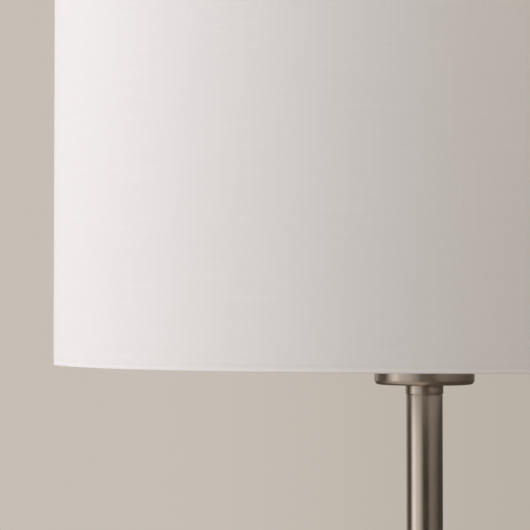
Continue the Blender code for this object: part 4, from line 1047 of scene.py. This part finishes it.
roomLook = {                                   # walls: bearing from the camera's side, brightness
    "walls": ((-180, 0.24), (-150, 0.40), (-125, 0.09), (-105, 0.03), (-92, 0.66), (-76, 1.50),
              (-60, 0.93), (-42, 0.83), (-27, 0.48), (-20, 0.32), (-13, 0.01), (2, 0.045), (14, 0.03),
              (27, 0.24), (42, 0.29), (60, 0.21), (80, 0.13), (100, 0.06), (125, 0.08), (150, 0.12),
              (180, 0.24)),
    "tintDark": (1.0, 0.78, 0.62), "tintBright": (1.0, 0.975, 0.985), "ceiling": 0.50, "ceilingSwing": 0.17,
    "ceilingSide": -85.0, "ceilingTint": (1.0, 1.0, 0.93), "bandLow": 0.45, "bandHigh": 0.75,
    "backdropLeft": (0.570, 0.515, 0.462), "backdropRight": (0.486, 0.440, 0.381),
    "backdropTurn": (-0.06, 0.16)}

# the floor's reflection tones are painted: a painted reflection, dark away from the key light and lit towards
# it
floorLook = {"radius": 8.0, "colour": (0.80, 0.74, 0.66), "fade": (1.6, 7.6),
             "paintedReflectionDark": (0.15, 0.115, 0.085), "paintedReflectionLit": (0.58, 0.53, 0.47),
             "litFrom": (-0.82, -0.57), "mottle": 0.97}
floorForm = bmesh.new()
bmesh.ops.create_circle(floorForm, cap_ends=True, segments=96, radius=floorLook["radius"])
floor = bpy.data.objects.new("floor", newMesh("floor", floorForm))
scene.collection.objects.link(floor)
floorFinish = Finish("paleFloor")
mottle = floorFinish.noise(floorFinish.place, 3.0, 3.0)
floorTone = floorFinish.mixColour(mottle * 0.3, rgb(*floorLook["colour"]),
                                  rgb(*(level * floorLook["mottle"] for level in floorLook["colour"])))
floorX, floorY, _ = floorFinish.axes(floorFinish.place)
floorReach = (floorX * floorX + floorY * floorY) ** 0.5 + 0.01
litX, litY = floorLook["litFrom"]
litSide = ((floorX * litX + floorY * litY) / floorReach).ramp(0.15, 0.95)
# painted reflection: what glossy rays see of the floor, lit on the key light's side and dark on the other
paintedReflectionTone = floorFinish.mixColour(litSide, rgb(*floorLook["paintedReflectionDark"]), rgb(*floorLook["paintedReflectionLit"]))
rays = floorFinish.node("ShaderNodeLightPath")
floorPaint = floorFinish.node("ShaderNodeBsdfPrincipled", None, {
    "Base Color": floorFinish.mixColour(rays.at("Is Glossy Ray"), floorTone, paintedReflectionTone),
    "Roughness": 0.7 + mottle * 0.1})
# painted glow: the floor emits the backdrop's colours, lighter on the left where the light falls
paintedBackdropGlow = floorFinish.node("ShaderNodeEmission", None, {"Color": floorFinish.mixColour(
    (floorX / floorReach).ramp(*roomLook["backdropTurn"]), rgb(*roomLook["backdropLeft"]),
    rgb(*roomLook["backdropRight"]))})
farAway = floorReach.ramp(*floorLook["fade"]) * rays.at("Is Camera Ray")     # far floor becomes a painted glow in the backdrop's colours, lighter on the left, seen by the camera only
floorFinish.node("ShaderNodeOutputMaterial", None, {"Surface": floorFinish.node(
    "ShaderNodeMixShader", None, {0: farAway, 1: floorPaint, 2: paintedBackdropGlow})})
floor.data.materials.append(floorFinish.material)

world = bpy.data.worlds.new("studio")
scene.world = world
world.use_nodes = True
room = Bench(world.node_tree)
room.tree.nodes.clear()
ray = room.node("ShaderNodeTexCoord", output="Generated")
rayX, rayY, rayZ = room.axes(ray)
bearing = rayX.maths("ARCTAN2", rayX, rayY * -1.0) / math.tau + 0.5
wallStops = [(degrees / 360 + 0.5, level) for degrees, level in roomLook["walls"]]
walls = room.node("ShaderNodeValToRGB", {"stops": wallStops}, {"Fac": bearing})
swing = (bearing * math.tau - (math.pi + math.radians(roomLook["ceilingSide"]))).cosine()
above = abs(rayZ).ramp(roomLook["bandLow"], roomLook["bandHigh"])
wallTint = room.mixColour((walls ** 0.42).kept(), rgb(*roomLook["tintDark"]), rgb(*roomLook["tintBright"]))
wallLight = room.mixColour(1.0, walls, wallTint, "MULTIPLY")
ceilingLevel = roomLook["ceiling"] + swing * roomLook["ceilingSwing"]
ceilingLight = room.mixColour(1.0, room.vector(ceilingLevel, ceilingLevel, ceilingLevel),
                              rgb(*roomLook["ceilingTint"]), "MULTIPLY")
lighting = room.mixColour(above, wallLight, ceilingLight)
# the backdrop the camera sees is painted lighter on the left, where the light falls
backdrop = room.mixColour(rayX.ramp(*roomLook["backdropTurn"]), rgb(*roomLook["backdropLeft"]),
                          rgb(*roomLook["backdropRight"]))
seen = room.node("ShaderNodeLightPath", output="Is Camera Ray")
shown = room.mixColour(seen, lighting, backdrop)
background = room.node("ShaderNodeBackground", None, {"Color": shown, "Strength": 1.0})
room.node("ShaderNodeOutputWorld", None, {"Surface": background})

lightAim = Vector((0, 0, 1.35))
studioLights = {
    "keyLight": {"place": (-2.6, -0.5, 3.0), "size": 1.8, "power": 61.0, "colour": (1.0, 0.965, 1.05)},
    "fillLight": {"place": (0.75, -0.5, 1.95), "size": 0.5, "power": 3.8, "colour": (1.0, 0.86, 0.76)}}
for lightName, look in studioLights.items():
    lamp = bpy.data.lights.new(lightName, "AREA")
    lamp.shape, lamp.size, lamp.energy, lamp.color = "SQUARE", look["size"], look["power"], look["colour"]
    light = bpy.data.objects.new(lightName, lamp)
    light.location = look["place"]
    light.rotation_euler = (lightAim - light.location).to_track_quat("-Z", "Y").to_euler()
    light.visible_camera = False
    scene.collection.objects.link(light)
scene.view_settings.view_transform = "Standard"
print("studio made")

bpy.context.view_layer.update()
